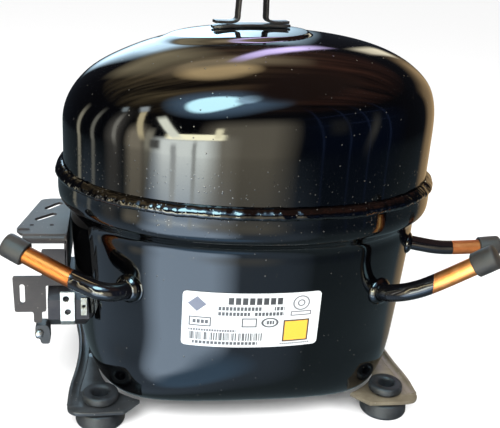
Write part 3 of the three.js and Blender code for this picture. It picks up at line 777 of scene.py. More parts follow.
def skin(tracks: Sequence[Track], around: int, loop: bool = False) -> bmesh.types.BMesh:
    """A skin over closed tracks, one row of a grid to each.

    Args:
        tracks: each gives its point for a turn from 0 to 1.
        around: stretches round each track.
        loop: whether the last track joins the first.

    Returns:
        The skin, with its seam and its poles closed.
    """
    rows = [*tracks, tracks[0]] if loop else list(tracks)
    bm = bmesh.new()
    bmesh.ops.create_grid(bm, x_segments=around, y_segments=len(rows) - 1, size=1.0)
    for vert in bm.verts:
        row = round((vert.co.y + 1) / 2 * (len(rows) - 1))
        turn = round((vert.co.x + 1) / 2 * around) % around / around
        vert.co = rows[row](turn)
    return tidy(bm)


def tidy(bm: bmesh.types.BMesh) -> bmesh.types.BMesh:
    """Merges doubles, drops faces without area and turns the faces outwards."""
    bmesh.ops.remove_doubles(bm, verts=bm.verts[:], dist=1e-4)
    bmesh.ops.dissolve_degenerate(bm, edges=bm.edges[:], dist=1e-5)
    bmesh.ops.recalc_face_normals(bm, faces=bm.faces[:])
    return bm


def turned(profile: Sequence[Sequence[float]], steps: int = 48, loop: bool = False) -> bmesh.types.BMesh:
    """A piece turned about Z.

    Args:
        profile: radius and height pairs.
        steps: stretches round it.
        loop: whether the profile closes on itself, as a ring's does.

    Returns:
        The turned piece.
    """
    bm = bmesh.new()
    verts = [bm.verts.new((radius, 0, height)) for radius, height in profile]
    edges = [bm.edges.new(pair) for pair in zip(verts, verts[1:])]
    if loop:
        edges.append(bm.edges.new((verts[-1], verts[0])))
    bmesh.ops.spin(bm, geom=verts + edges, cent=(0, 0, 0), axis=(0, 0, 1), dvec=(0, 0, 0),
                   angle=math.tau, steps=steps, use_merge=True, use_duplicate=False)
    return tidy(bm)


def stations(path: Sequence[Vector]) -> list[Matrix]:
    """Places along a path, each with its Z along it and as little twist as can be."""
    made = []
    facing = (path[1] - path[0]).to_track_quat("Z", "Y")
    for i, at in enumerate(path):
        ahead = (path[min(i + 1, len(path) - 1)] - path[max(i - 1, 0)]).normalized()
        facing = (facing @ Vector((0, 0, 1))).rotation_difference(ahead) @ facing
        made.append(Matrix.Translation(at) @ facing.to_matrix().to_4x4())
    return made


def swept(outline: Sequence[Vector], places: Sequence[Matrix], capped: bool = True) -> bmesh.types.BMesh:
    """An outline drawn along places.

    Args:
        outline: a flat closed outline.
        places: where it stands at each step.
        capped: whether both ends are closed.

    Returns:
        The swept piece.
    """
    bm = bmesh.new()
    verts = [bm.verts.new(places[0] @ Vector((point[0], point[1], 0))) for point in outline]
    edges = [bm.edges.new(pair) for pair in zip(verts, verts[1:] + verts[:1])]
    if capped:
        bmesh.ops.contextual_create(bm, geom=edges)
    for before, after in zip(places, places[1:]):
        made = bmesh.ops.extrude_edge_only(bm, edges=edges)["geom"]
        moved = [item for item in made if isinstance(item, bmesh.types.BMVert)]
        edges = [item for item in made if isinstance(item, bmesh.types.BMEdge) and item.is_boundary]
        bmesh.ops.transform(bm, matrix=after @ before.inverted(), verts=moved)
    if capped:
        bmesh.ops.contextual_create(bm, geom=edges)
    return tidy(bm)


def circle(radius: float, steps: int = 28) -> list[Vector]:
    """A round outline."""
    return [Vector((radius * math.cos(math.tau * i / steps), radius * math.sin(math.tau * i / steps)))
            for i in range(steps)]


def slab(outline: Sequence[Vector], low: float, high: float,
         holes: Sequence[Sequence[Vector]] = ()) -> bmesh.types.BMesh:
    """A flat sheet with holes, standing from one height to another.

    Args:
        outline: its edge.
        low: its underside.
        high: its top.
        holes: the holes' edges.

    Returns:
        The sheet.
    """
    curve = bpy.data.curves.new("outline", "CURVE")
    curve.dimensions, curve.fill_mode, curve.extrude = "2D", "BOTH", (high - low) / 2
    for edge in (outline, *holes):
        spline = curve.splines.new("POLY")
        spline.points.add(len(edge) - 1)
        for point, at in zip(spline.points, edge):
            point.co = (at[0], at[1], 0, 1)
        spline.use_cyclic_u = True
    holder = bpy.data.objects.new("outline", curve)
    mesh = bpy.data.meshes.new_from_object(holder)
    bm = bmesh.new()
    bm.from_mesh(mesh)
    bpy.data.objects.remove(holder)
    bpy.data.curves.remove(curve)
    bpy.data.meshes.remove(mesh)
    bmesh.ops.translate(bm, verts=bm.verts[:], vec=(0, 0, (low + high) / 2))
    return tidy(bm)


def block(low: Point, high: Point, edge: float) -> bmesh.types.BMesh:
    """A box with softened edges.

    Args:
        low: its lowest corner.
        high: its highest corner.
        edge: how wide the softening is.

    Returns:
        The box.
    """
    bm = bmesh.new()
    bmesh.ops.create_cube(bm, size=1.0)
    size = Vector(high) - Vector(low)
    bmesh.ops.scale(bm, verts=bm.verts[:], vec=size)
    bmesh.ops.translate(bm, verts=bm.verts[:], vec=(Vector(high) + Vector(low)) / 2)
    bmesh.ops.bevel(bm, geom=bm.edges[:], offset=edge, segments=3, profile=0.5, affect="EDGES", material=-1)
    return bm


def moved(bm: bmesh.types.BMesh, matrix: Matrix) -> bmesh.types.BMesh:
    """Takes a mesh to a place; a mirrored one gets its faces turned outwards again."""
    bmesh.ops.transform(bm, matrix=matrix, verts=bm.verts[:])
    if matrix.determinant() < 0:
        bmesh.ops.reverse_faces(bm, faces=bm.faces[:])
    return bm


def joined(*parts: bmesh.types.BMesh) -> bmesh.types.BMesh:
    """Several meshes as one."""
    whole = bmesh.new()
    for part in parts:
        carrier = bpy.data.meshes.new("part")
        part.to_mesh(carrier)
        part.free()
        whole.from_mesh(carrier)
        bpy.data.meshes.remove(carrier)
    return whole


def aimed(at: Sequence[float], along: Sequence[float]) -> Matrix:
    """The place at a point with Z along a direction."""
    facing = Vector(along).to_track_quat("Z", "Y")
    return Matrix.Translation(Vector(at)) @ facing.to_matrix().to_4x4()


# Sheets are drawn flat and then stood up: the outline's axes become X and Z, or Y and Z.
STAND_ALONG_X = Matrix(((1, 0, 0, 0), (0, 0, -1, 0), (0, 1, 0, 0), (0, 0, 0, 1)))
STAND_ALONG_Y = Matrix(((0, 0, 1, 0), (1, 0, 0, 0), (0, 1, 0, 0), (0, 0, 0, 1)))


def soften(made: bpy.types.Object, width: float, crease: float) -> None:
    """Bevels an object's sharp edges.

    Args:
        made: the object.
        width: how wide the bevel is, in millimetres.
        crease: edges that turn by more degrees than this are sharp.
    """
    bevel = made.modifiers.new("edge", "BEVEL")
    bevel.width, bevel.segments, bevel.limit_method = width * MM, 2, "ANGLE"
    bevel.angle_limit, bevel.use_clamp_overlap = math.radians(crease), True


@dataclass
class Piece:
    """A finished piece of the visual model.

    Attributes:
        name: its name.
        mesh: its shape, in millimetres.
        finish: its surface.
        slot: the record's material slot; not used.
        stands_for: the CAD nodes that it is shown in place of.
        body: the CAD body that it rides on.
        edge: width of the bevel on its sharp edges.
        crease: faces that meet at more degrees than this keep a hard edge.
        wall: thickness given to an open skin, inwards.
        bend: where a piece between shell and pump leaves the one and reaches the other; only whether it is
            given is used, and such a piece rides on neither body.
    """

    name: str
    mesh: bmesh.types.BMesh
    finish: Finish
    slot: str
    stands_for: tuple[str, ...] = ()
    body: str = SHELL
    edge: float = 0.0
    crease: float = 38.0
    wall: float = 0.0
    bend: tuple[Point, Point] | None = None

    def place(self) -> None:
        """Makes the object, rides it on its body unless it is given a bend, and reports it."""
        data = bpy.data.meshes.new(self.name)
        self.mesh.transform(TO_FRAME)
        self.mesh.to_mesh(data)
        self.mesh.free()
        data.polygons.foreach_set("use_smooth", [True] * len(data.polygons))
        data.set_sharp_from_angle(angle=math.radians(self.crease))
        data.materials.append(self.finish.material())
        made = bpy.data.objects.new(self.name, data)
        bpy.context.scene.collection.objects.link(made)
        if self.wall:
            wall = made.modifiers.new("wall", "SOLIDIFY")
            wall.thickness, wall.offset = self.wall * MM, -1
        if self.edge:
            soften(made, self.edge, self.crease)
        if self.bend:
            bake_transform(made)
        else:
            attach(made, self.body)
        if self.stands_for:
            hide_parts(*self.stands_for)
        LOG.info("%s: %d faces", self.name, len(data.polygons))


def dress(node: str, finish: Finish, edge: float = 0.0) -> None:
    """Gives a CAD node its material and softens its edges.

    Args:
        node: the node's name.
        finish: its surface.
        edge: width of the bevel on its sharp edges, in millimetres.
    """
    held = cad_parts[node]
    held.data.materials.clear()
    held.data.materials.append(finish.material())
    if edge:
        held.modifiers.new("weld", "WELD").merge_threshold = 0.001 * MM
        soften(held, edge, 40)
    LOG.info("%s: dressed", node)


# ---- casing ---------------------------------------------------------------------------------


@dataclass(frozen=True)
class TubeRoute:
    """A copper stub: its route out of the shell and where its paint stops.

    Attributes:
        name: the stub's name.
        size: its outside diameter.
        wall: its wall.
        plug: the radius of its plug.
        route: the points that its middle goes through.
        edge: a point on the paint's edge.
        lean: the way out along the tube at that edge, leaned over as the edge is.
        heat: how far the copper is browned.
        dull: how far it is dulled.
    """

    name: str
    size: float
    wall: float
    plug: float
    route: tuple[Point, ...]
    edge: Point
    lean: Point
    heat: float
    dull: float = 0.0

    def path(self, steps: int = 12) -> list[Vector]:
        """The tube's middle line."""
        return flowing(self.route, steps)

    def tool(self) -> bmesh.types.BMesh:
        """The hole that it goes through the shell in."""
        line = self.path(6)
        places = stations([2 * line[0] - line[6], *line[:13]])
        return swept(circle(self.size / 2 + 0.3, 24), places)


ROUTES = (
    TubeRoute("discharge", 9.6, 1.0, 6.5, (
        (-62, -48, 83), (-68.5, -56.5, 83.6), (-75.5, -62.5, 84.6), (-82.8, -62.5, 85.6), (-90.3, -58.5, 87),
        (-97, -54, 88.3), (-122.5, -44, 98.8), (-128.5, -41.6, 101.4)),
        (-97.0, -54.0, 88.3), (-0.90, 0.36, 0.12), 0.0, 0.95),
    TubeRoute("suction", 9.6, 1.0, 6.5, (
        (66, -48, 79), (69.3, -55.5, 80), (72.3, -62.6, 82.4), (78.2, -68.8, 86), (84.8, -72.6, 89.8),
        (90.6, -75.5, 94), (108.4, -85.8, 110), (113.5, -88.7, 114.6)),
        (90.6, -75.5, 94.0), (0.93, -0.35, 0.05), 0.1, 0.2),
    TubeRoute("process", 8.1, 0.9, 5.6, (
        (84, -28, 99), (91.4, -29.6, 98.8), (99.8, -30.8, 97.6), (107, -31.6, 96.6), (114.2, -32.2, 96.2),
        (136, -34, 97.6), (143, -34.6, 98.4)),
        (118.0, -32.3, 96.3), (0.99, -0.08, 0.05), 0.85),
)


def cut(body: bmesh.types.BMesh, *tools: bmesh.types.BMesh) -> bmesh.types.BMesh:
    """Takes tools out of a closed mesh.

    Args:
        body: the mesh that is cut.
        tools: closed meshes; they are used up.

    Returns:
        What is left.
    """
    def shown(bm: bmesh.types.BMesh) -> bpy.types.Object:
        data = bpy.data.meshes.new("cut")
        bm.to_mesh(data)
        bm.free()
        made = bpy.data.objects.new("cut", data)
        bpy.context.scene.collection.objects.link(made)
        return made

    held = shown(body)
    knives = [shown(tool) for tool in tools]
    for knife in knives:
        taken = held.modifiers.new("cut", "BOOLEAN")
        taken.operation, taken.solver, taken.object = "DIFFERENCE", "EXACT", knife
    graph = bpy.context.evaluated_depsgraph_get()
    result = bmesh.new()
    result.from_object(held, graph)
    for spent in (held, *knives):
        data = spent.data
        bpy.data.objects.remove(spent)
        bpy.data.meshes.remove(data)
    return result


@dataclass(frozen=True)
class Dome:
    """The upper shell, with the flat pad pressed into its crown.

    Attributes:
        a: half length.
        b: half depth.
        foot: height of its rim, inside the lower shell's flare.
        shoulder: height at which its wall starts to turn in.
        crown: how far its top stands over that.
        plan: squareness of its plan.
        wall: sheet thickness.
        step: how far the sheet round the pad lies under it.
        pad_middle: the pad's middle.
        pad_size: half its length and half its depth.
        pad_plan: squareness of its plan.
        around: stretches round it.
    """

    a: float = 103.5
    b: float = 77.4
    foot: float = 119.8
    shoulder: float = 160.0
    crown: float = 52.3
    plan: float = 2.15
    wall: float = 3.0
    step: float = 1.3
    pad_middle: Point = (-10, 2)
    pad_size: Point = (40, 30)
    pad_plan: float = 2.2
    around: int = 240

    @staticmethod
    def arc(turn: float) -> float:
        """The shoulder's squareness: tighter towards +X."""
        return 2.55 + 0.55 * math.cos(math.tau * turn)

    def pad(self, x: float, y: float) -> float:
        """How far a place is outside the pad, as a share of the pad's size.

        Args:
            x: place along the shell.
            y: place across it.

        Returns:
            Below 1 on the pad, above 1 off it.
        """
        parts = (abs((at - middle) / half) ** self.pad_plan
                 for at, middle, half in zip((x, y), self.pad_middle, self.pad_size))
        return sum(parts) ** (1 / self.pad_plan)

    def point(self, turn: float, share: float, inset: float) -> Vector:
        """A place on the crown.

        Args:
            turn: how far round.
            share: 0 at the shoulder, 1 in the middle of the top.
            inset: how far inside the outer face.

        Returns:
            The place.
        """
        arc = self.arc(turn)
        split = 2 ** (-1 / arc)
        if share <= 0.5:
            rise = split * share * 2
            scale = (1 - rise**arc) ** (1 / arc)
        else:
            scale = split * (2 - share * 2)
            rise = (1 - scale**arc) ** (1 / arc)
        at = oval(turn, (self.a - inset) * scale, (self.b - inset) * scale, self.plan)
        at.z = self.shoulder + rise * (self.crown - inset)
        if not inset:
            # The pad's edge is crisp towards +X, soft towards -X, and dies out down the shoulder.
            crisp = 0.035 + 0.2 * ease((16 - at.x) / 22)
            edge = ease((self.pad(at.x, at.y) - 1 + crisp / 2) / crisp)
            at.z -= self.step * edge * ease((rise - 0.45) / 0.3)
        return at

    def height(self, x: float, y: float) -> float:
        """Height of the outer face over a place near the top."""
        turn = math.atan2(y / self.b, x / self.a) / math.tau % 1
        low, high = 0.5, 1.0
        for _ in range(30):
            middle = (low + high) / 2
            at = self.point(turn, middle, 0)
            low, high = (middle, high) if math.hypot(at.x, at.y) > math.hypot(x, y) else (low, middle)
        return self.point(turn, low, 0).z

    def build(self) -> None:
        """Places the dome."""
        def wall(height: float, inset: float) -> Track:
            return lambda turn: oval(turn, self.a - inset, self.b - inset, self.plan) + Vector((0, 0, height))

        def crown(share: float, inset: float) -> Track:
            return lambda turn: self.point(turn, share, inset)

        inside = [crown(share, self.wall) for share in spread(1, 0, 24)]
        rim = [wall(self.foot, self.wall), wall(self.foot, 0)]
        side = [wall(height, 0) for height in spread(self.foot + 3, self.shoulder - 5, 6)]
        outside = [crown(share, 0) for share in (*spread(0, 0.5, 36), *spread(0.5, 1, 90)[1:])]
        shell = skin([*inside, *rim, *side, *outside], self.around)
        Piece("dome", shell, Enamel(), "enamel", ("upper_shell",), crease=50).place()


@dataclass(frozen=True)
class Cup:
    """The lower shell: a deep cup with four soft pockets in its floor and a flare at its rim.

    Attributes:
        rows: height, half length, half depth and squareness, from the floor up.
        inner: the same for its inside.
        seat: the profile of a suspension spring's seat, as radius and height.
        drop: how deep the corner pockets are.
        fade: rows over which they die out up the wall.
        steps: stretches between two rows.
        around: stretches round it.
    """

    rows: tuple[Point, ...] = (
        (12.5, 66, 44, 3.0), (13.3, 77, 55, 3.0), (16, 84, 61, 3.0), (22, 88.5, 65.5, 2.8),
        (32, 92.5, 69, 2.5), (48, 96, 71.6, 2.2), (75, 98, 73, 2.15), (103, 99.7, 73.8, 2.15),
        (112, 100.3, 74.3, 2.15), (115.5, 103, 76.7, 2.15), (119.5, 106, 79.6, 2.15),
        (131, 106.5, 80.1, 2.15))
    inner: tuple[Point, ...] = (
        (131, 103.9, 77.8, 2.15), (119.3, 103.9, 77.8, 2.15), (115.8, 99.8, 73.7, 2.15),
        (112, 97.3, 71.3, 2.15), (75, 95, 70, 2.15), (48, 93, 68.6, 2.2), (32, 89.5, 66, 2.5),
        (22.7, 85.5, 62.5, 2.8), (18.5, 81, 58, 3.0), (16.3, 74, 52, 3.0), (15.5, 63, 41, 3.0))
    seat: tuple[Point, ...] = (
        (0, 13.5), (8.5, 13.5), (8.5, 17.3), (8.1, 17.7), (5.0, 17.7), (5.0, 24.6), (3.8, 26.2), (0, 26.5))
    drop: float = 3.5
    fade: int = 4
    steps: int = 6
    around: int = 240

    def sections(self) -> list[Vector]:
        """The outer face's rows, drawn out smoothly."""
        return flowing(self.rows, self.steps)

    def section(self, height: float) -> Vector:
        """The outer face's row at a height."""
        rows = self.sections()
        upper = next(i for i, row in enumerate(rows) if row[0] >= height)
        below, above = rows[upper - 1], rows[upper]
        return below.lerp(above, (height - below[0]) / (above[0] - below[0]))

    def front(self, x: float, z: float, off: float) -> Vector:
        """A place on the front wall, some way off it."""
        _, a, b, power = self.section(z)
        depth = (b + off) * (1 - (abs(x) / (a + off)) ** power) ** (1 / power)
        return Vector((x, -depth, z))

    def track(self, row: Sequence[float], weight: float) -> Track:
        """One row of the skin, sunk at its corners.

        Args:
            row: height, half length, half depth and squareness.
            weight: how much of the corner pockets it has.

        Returns:
            The track.
        """
        height, a, b, power = row

        def at(turn: float) -> Vector:
            corner = abs(math.sin(2 * math.tau * turn)) ** 3
            return oval(turn, a, b, power) + Vector((0, 0, height - self.drop * weight * corner))

        return at

    @staticmethod
    def drawn_in(row: Point, share: float) -> Point:
        """A row of the floor, drawn in towards its middle."""
        height, a, b, power = row
        return height, a * share, b * share, power

    def build(self) -> None:
        """Places the cup with its holes and the spring seats on its floor."""
        last = len(self.inner) - 1
        under = [self.track(self.drawn_in(self.rows[0], share), ease(share))
                 for share in spread(0.0, 1.0, 9)[:-1]]
        outside = [self.track(row, max(0.0, 1 - i / self.steps / self.fade))
                   for i, row in enumerate(self.sections())]
        inside = [self.track(row, max(0.0, 1 - (last - i) / self.fade)) for i, row in enumerate(self.inner)]
        over = [self.track(self.drawn_in(self.inner[-1], share), share) for share in (0.5, 0.0)]
        shell = skin([*under, *outside, *inside, *over], self.around)
        socket = moved(turned(((0, -8), (10.4, -8), (10.4, 26), (0, 26)), 48),
                       Matrix.Translation(TERMINAL_AT) @ Matrix.Rotation(math.pi / 2, 4, "Y"))
        shell = cut(shell, socket, *(route.tool() for route in ROUTES))
        Piece("cup", shell, Enamel(), "enamel", ("lower_shell",), crease=32).place()
        spots = [(x, y, 0) for x in (-SPRING_AT, SPRING_AT) for y in (-SPRING_AT, SPRING_AT)]
        seats = [moved(turned(self.seat, 32), Matrix.Translation(spot)) for spot in spots]
        Piece("spring_seats", joined(*seats), Enamel(), "enamel", ("lower_shell",)).place()


@dataclass(frozen=True)
class SeamBead:
    """The weld bead round the joint of the two shells, painted over.

    Attributes:
        outline: its section, as distance from the dome's wall and height.
        lump: how far it swells and shrinks along its run.
        foot: height of the lower shell's rim, which its underside stays on.
    """

    outline: tuple[Point, ...] = (
        (0.25, 131.2), (2.4, 130.9), (3.9, 131.6), (4.4, 133.0), (3.9, 134.5), (2.7, 135.8), (1.4, 136.7),
        (0.25, 137.1))
    lump: float = 0.42
    foot: float = 130.9

    def build(self, dome: Dome) -> None:
        """Places the bead.

        Args:
            dome: the shell that it runs round.
        """
        ring = flowing(self.outline, 4)
        middle = Vector((1.6, 133.6))

        def track(point: Vector) -> Track:
            def at(turn: float) -> Vector:
                run = oval(turn, dome.a, dome.b, dome.plan)
                reach = point - middle
                fine = noise.noise(run * 0.42 + Vector((9, 0, point[1] * 0.25)))
                swell = noise.noise(run * 0.16) + 0.6 * fine
                ripple = 0.35 * noise.noise(run * 1.05 + Vector((0, 4, point[1] * 0.5)))
                held = ease((point[0] - 0.2) / 0.8)
                grown = point + reach.normalized() * self.lump * (swell + ripple) * held
                lift = 0.55 * noise.noise(run * 0.09 + Vector((3, 7, 1))) * held
                height = grown[1] + lift
                if point[1] < self.foot + 0.6:
                    height = max(self.foot, height)
                return oval(turn, dome.a + grown[0], dome.b + grown[0], dome.plan) + Vector((0, 0, height))
            return at

        bead = skin([track(point) for point in ring], 720, loop=True)
        Piece("seam_bead", bead, Enamel(0.006, 0.05), "enamel", ("seam_weld",), crease=60).place()


@dataclass(frozen=True)
class Base:
    """The two foot plates and the four grommets.

    Attributes:
        low: underside of the plates.
        thick: their sheet.
        hole: radius of the grommet holes.
        reach: half the spacing of those holes along the shell.
        depth: half their spacing across it.
    """

    low: float = 10.5
    thick: float = 2.5
    hole: float = 6.8
    reach: float = 82.55
    depth: float = 50.8

    def plate(self) -> bmesh.types.BMesh:
        """The right plate with its turned-up outer edge."""
        hollow = [oval(angle / math.tau, 84.8, 61.8, 3.0) for angle in spread(-0.92, 0.92, 31)]
        corner = [(70, 63.5), (93, 63.5), (97, 62.3), (99.6, 59.5), (100.4, 56)]
        edge = [(100.4, 56), (99.8, 40), (97.4, 20), (96.4, 0), (97.4, -20), (99.8, -40), (100.4, -56)]
        back = [(x, -y) for x, y in reversed(corner)]
        smooth = flowing(edge, 6)
        outline = [Vector((p[0], p[1])) for p in hollow]
        outline += [*flowing(corner, 4)[:-1], *smooth, *flowing(back, 4)[1:]]
        holes = [[Vector((self.reach, side * self.depth)) + p for p in circle(self.hole, 40)]
                 for side in (-1, 1)]
        holes.append([Vector((90.6, 0)) + p for p in circle(2.2, 24)])
        flat = slab(outline, self.low, self.low + self.thick, holes)
        sharp = [e for e in flat.edges if len(e.link_faces) == 2 and e.calc_face_angle() > 0.9]
        bmesh.ops.bevel(flat, geom=sharp, offset=0.45, segments=2, profile=0.5, affect="EDGES", material=-1)
        return joined(flat, self.lip(smooth))

    def lip(self, edge: Sequence[Vector]) -> bmesh.types.BMesh:
        """The turned-up edge: a curled strip that dies out towards both corners."""
        section = rounded(((-5.5, -2.35), (-0.4, -2.35), (1.0, -0.9), (1.0, 1.5), (-0.8, 1.5), (-1.6, 0.7),
                           (-3.4, 0.12), (-5.5, 0.12)), 0.7, 3)
        line = [Vector((p[0] - 0.9, p[1], self.low + self.thick)) for p in edge]
        places = []
        for i, place in enumerate(stations(line)):
            share = min(i, len(line) - 1 - i) / 5
            places.append(place @ Matrix.Diagonal((1, 0.3 + 0.7 * ease(share), 1, 1)))
        return swept(section, places)

    def grommet(self) -> bmesh.types.BMesh:
        """A rubber grommet standing on the ground."""
        profile = rounded(((4.5, 0.0), (12.9, 0.0), (13.7, 1.6), (12.9, 8.6), (9.2, 10.1), (6.4, 10.1),
                           (6.4, 13.4), (9.3, 13.4), (9.85, 14.4), (9.85, 17.0), (9.1, 18.3), (5.6, 18.3),
                           (4.5, 17.2)), 0.8, 4)
        return turned(profile, 72, loop=True)

    def build(self) -> None:
        """Places plates and grommets."""
        flip = Matrix.Scale(-1, 4, (1, 0, 0))
        # The right plate gets lighter, warmer tones than the left one, which is otherwise the same part
        # mirrored.
        darker_plate_steel = SheetSteel((0.016, 0.018, 0.020), (0.045, 0.050, 0.054), 0.1, 0.2)
        lighter_plate_steel = SheetSteel((0.075, 0.062, 0.042), (0.20, 0.175, 0.125), 0.1, 0.2)
        for side, place, paint in (("right", Matrix.Identity(4), lighter_plate_steel), ("left", flip, darker_plate_steel)):
            Piece(f"plate_{side}", moved(self.plate(), place), paint, "enamel",
                  (f"foot_plate_{side}",)).place()
        for side, x in (("left", -self.reach), ("right", self.reach)):
            for end, y in (("front", -self.depth), ("rear", self.depth)):
                Piece(f"foot_{end}_{side}", moved(self.grommet(), Matrix.Translation((x, y, 0))), Rubber(),
                      "rubber", (f"grommet_{end}_{side}",), crease=50).place()


@dataclass(frozen=True)
class Stub:
    """One copper stub with its weld collar and its plug."""

    route: TubeRoute

    def build(self) -> None:
        """Places tube, collar and plug."""
        route, name, radius = self.route, self.route.name, self.route.size / 2
        line = route.path()
        places = stations(line)
        tube = swept(circle(radius, 40), places, capped=False)
        Piece(f"{name}_tube", tube, PaintedCopper(route.edge, route.lean, route.heat, route.dull), "copper",
              (f"{name}_stub",), wall=route.wall, crease=50).place()
        out = (Vector(route.route[1]) - Vector(route.route[0])).normalized()
        profile = ((radius + 0.2, -2.5), (radius + 3.9, -2.5), (radius + 4.0, 0.4), (radius + 3.6, 1.5),
                   (radius + 3.0, 1.7), (radius + 2.75, 2.0), (radius + 2.9, 2.9), (radius + 2.5, 4.1),
                   (radius + 1.7, 4.9), (radius + 0.8, 5.6), (radius + 0.2, 5.8))
        collar = moved(turned(flowing(profile, 3), 56), aimed(Vector(route.route[1]) - out * 3.2, out))
        Piece(f"{name}_ring", collar, Enamel(0.006, 0.09), "enamel", (f"{name}_collar",), crease=50).place()
        tip = (line[-1] - line[-2]).normalized()
        cap, bore, spigot = route.plug, radius + 0.3, radius - route.wall - 0.3
        profile = ((0, 0), (spigot - 0.5, 0), (spigot, 0.6), (spigot, 8), (bore, 8), (bore, -1.5),
                   (cap - 0.5, -1.5), (cap, -1.0), (cap + 0.05, 4), (cap, 9.3), (cap - 0.35, 10.3),
                   (cap - 1.2, 10.9), (0, 11))
        plug = moved(turned(profile, 56), aimed(line[-1] - tip * 7.6, tip))
        Piece(f"{name}_bung", plug, Rubber((0.010, 0.0085, 0.0075), (0.038, 0.033, 0.029)), "rubber",
              (f"{name}_plug",), f"{name}_plug").place()


@dataclass(frozen=True)
class RatingLabel:
    """The label on the front wall.

    Attributes:
        left: its left edge.
        right: its right edge.
        low: its lower edge.
        high: its upper edge.
        gap: how far it stands off the wall.
        thick: its thickness.
    """

    left: float = -40.7
    right: float = 32.0
    low: float = 56.5
    high: float = 88.5
    gap: float = 0.12
    thick: float = 0.3

    def build(self, cup: Cup) -> None:
        """Wraps the label round the cup's wall."""
        corners = ((self.left, self.low), (self.right, self.low),
                   (self.right, self.high), (self.left, self.high))
        sheet = slab(rounded(corners, 2.6, 6), 0, self.thick)
        cuts = [((x, 0, 0), (1, 0, 0)) for x in spread(self.left + 1, self.right - 1, 42)]
        cuts += [((0, z, 0), (0, 1, 0)) for z in spread(self.low + 4, self.high - 4, 7)]
        for at, across in cuts:
            everything = [*sheet.verts, *sheet.edges, *sheet.faces]
            bmesh.ops.bisect_plane(sheet, geom=everything, plane_co=at, plane_no=across)
        for vert in sheet.verts:
            vert.co = cup.front(vert.co.x, vert.co.y, self.gap + vert.co.z)
        Piece("label", tidy(sheet), Print(), "label", ("rating_label",), crease=50).place()


# ---- terminal end ---------------------------------------------------------------------------


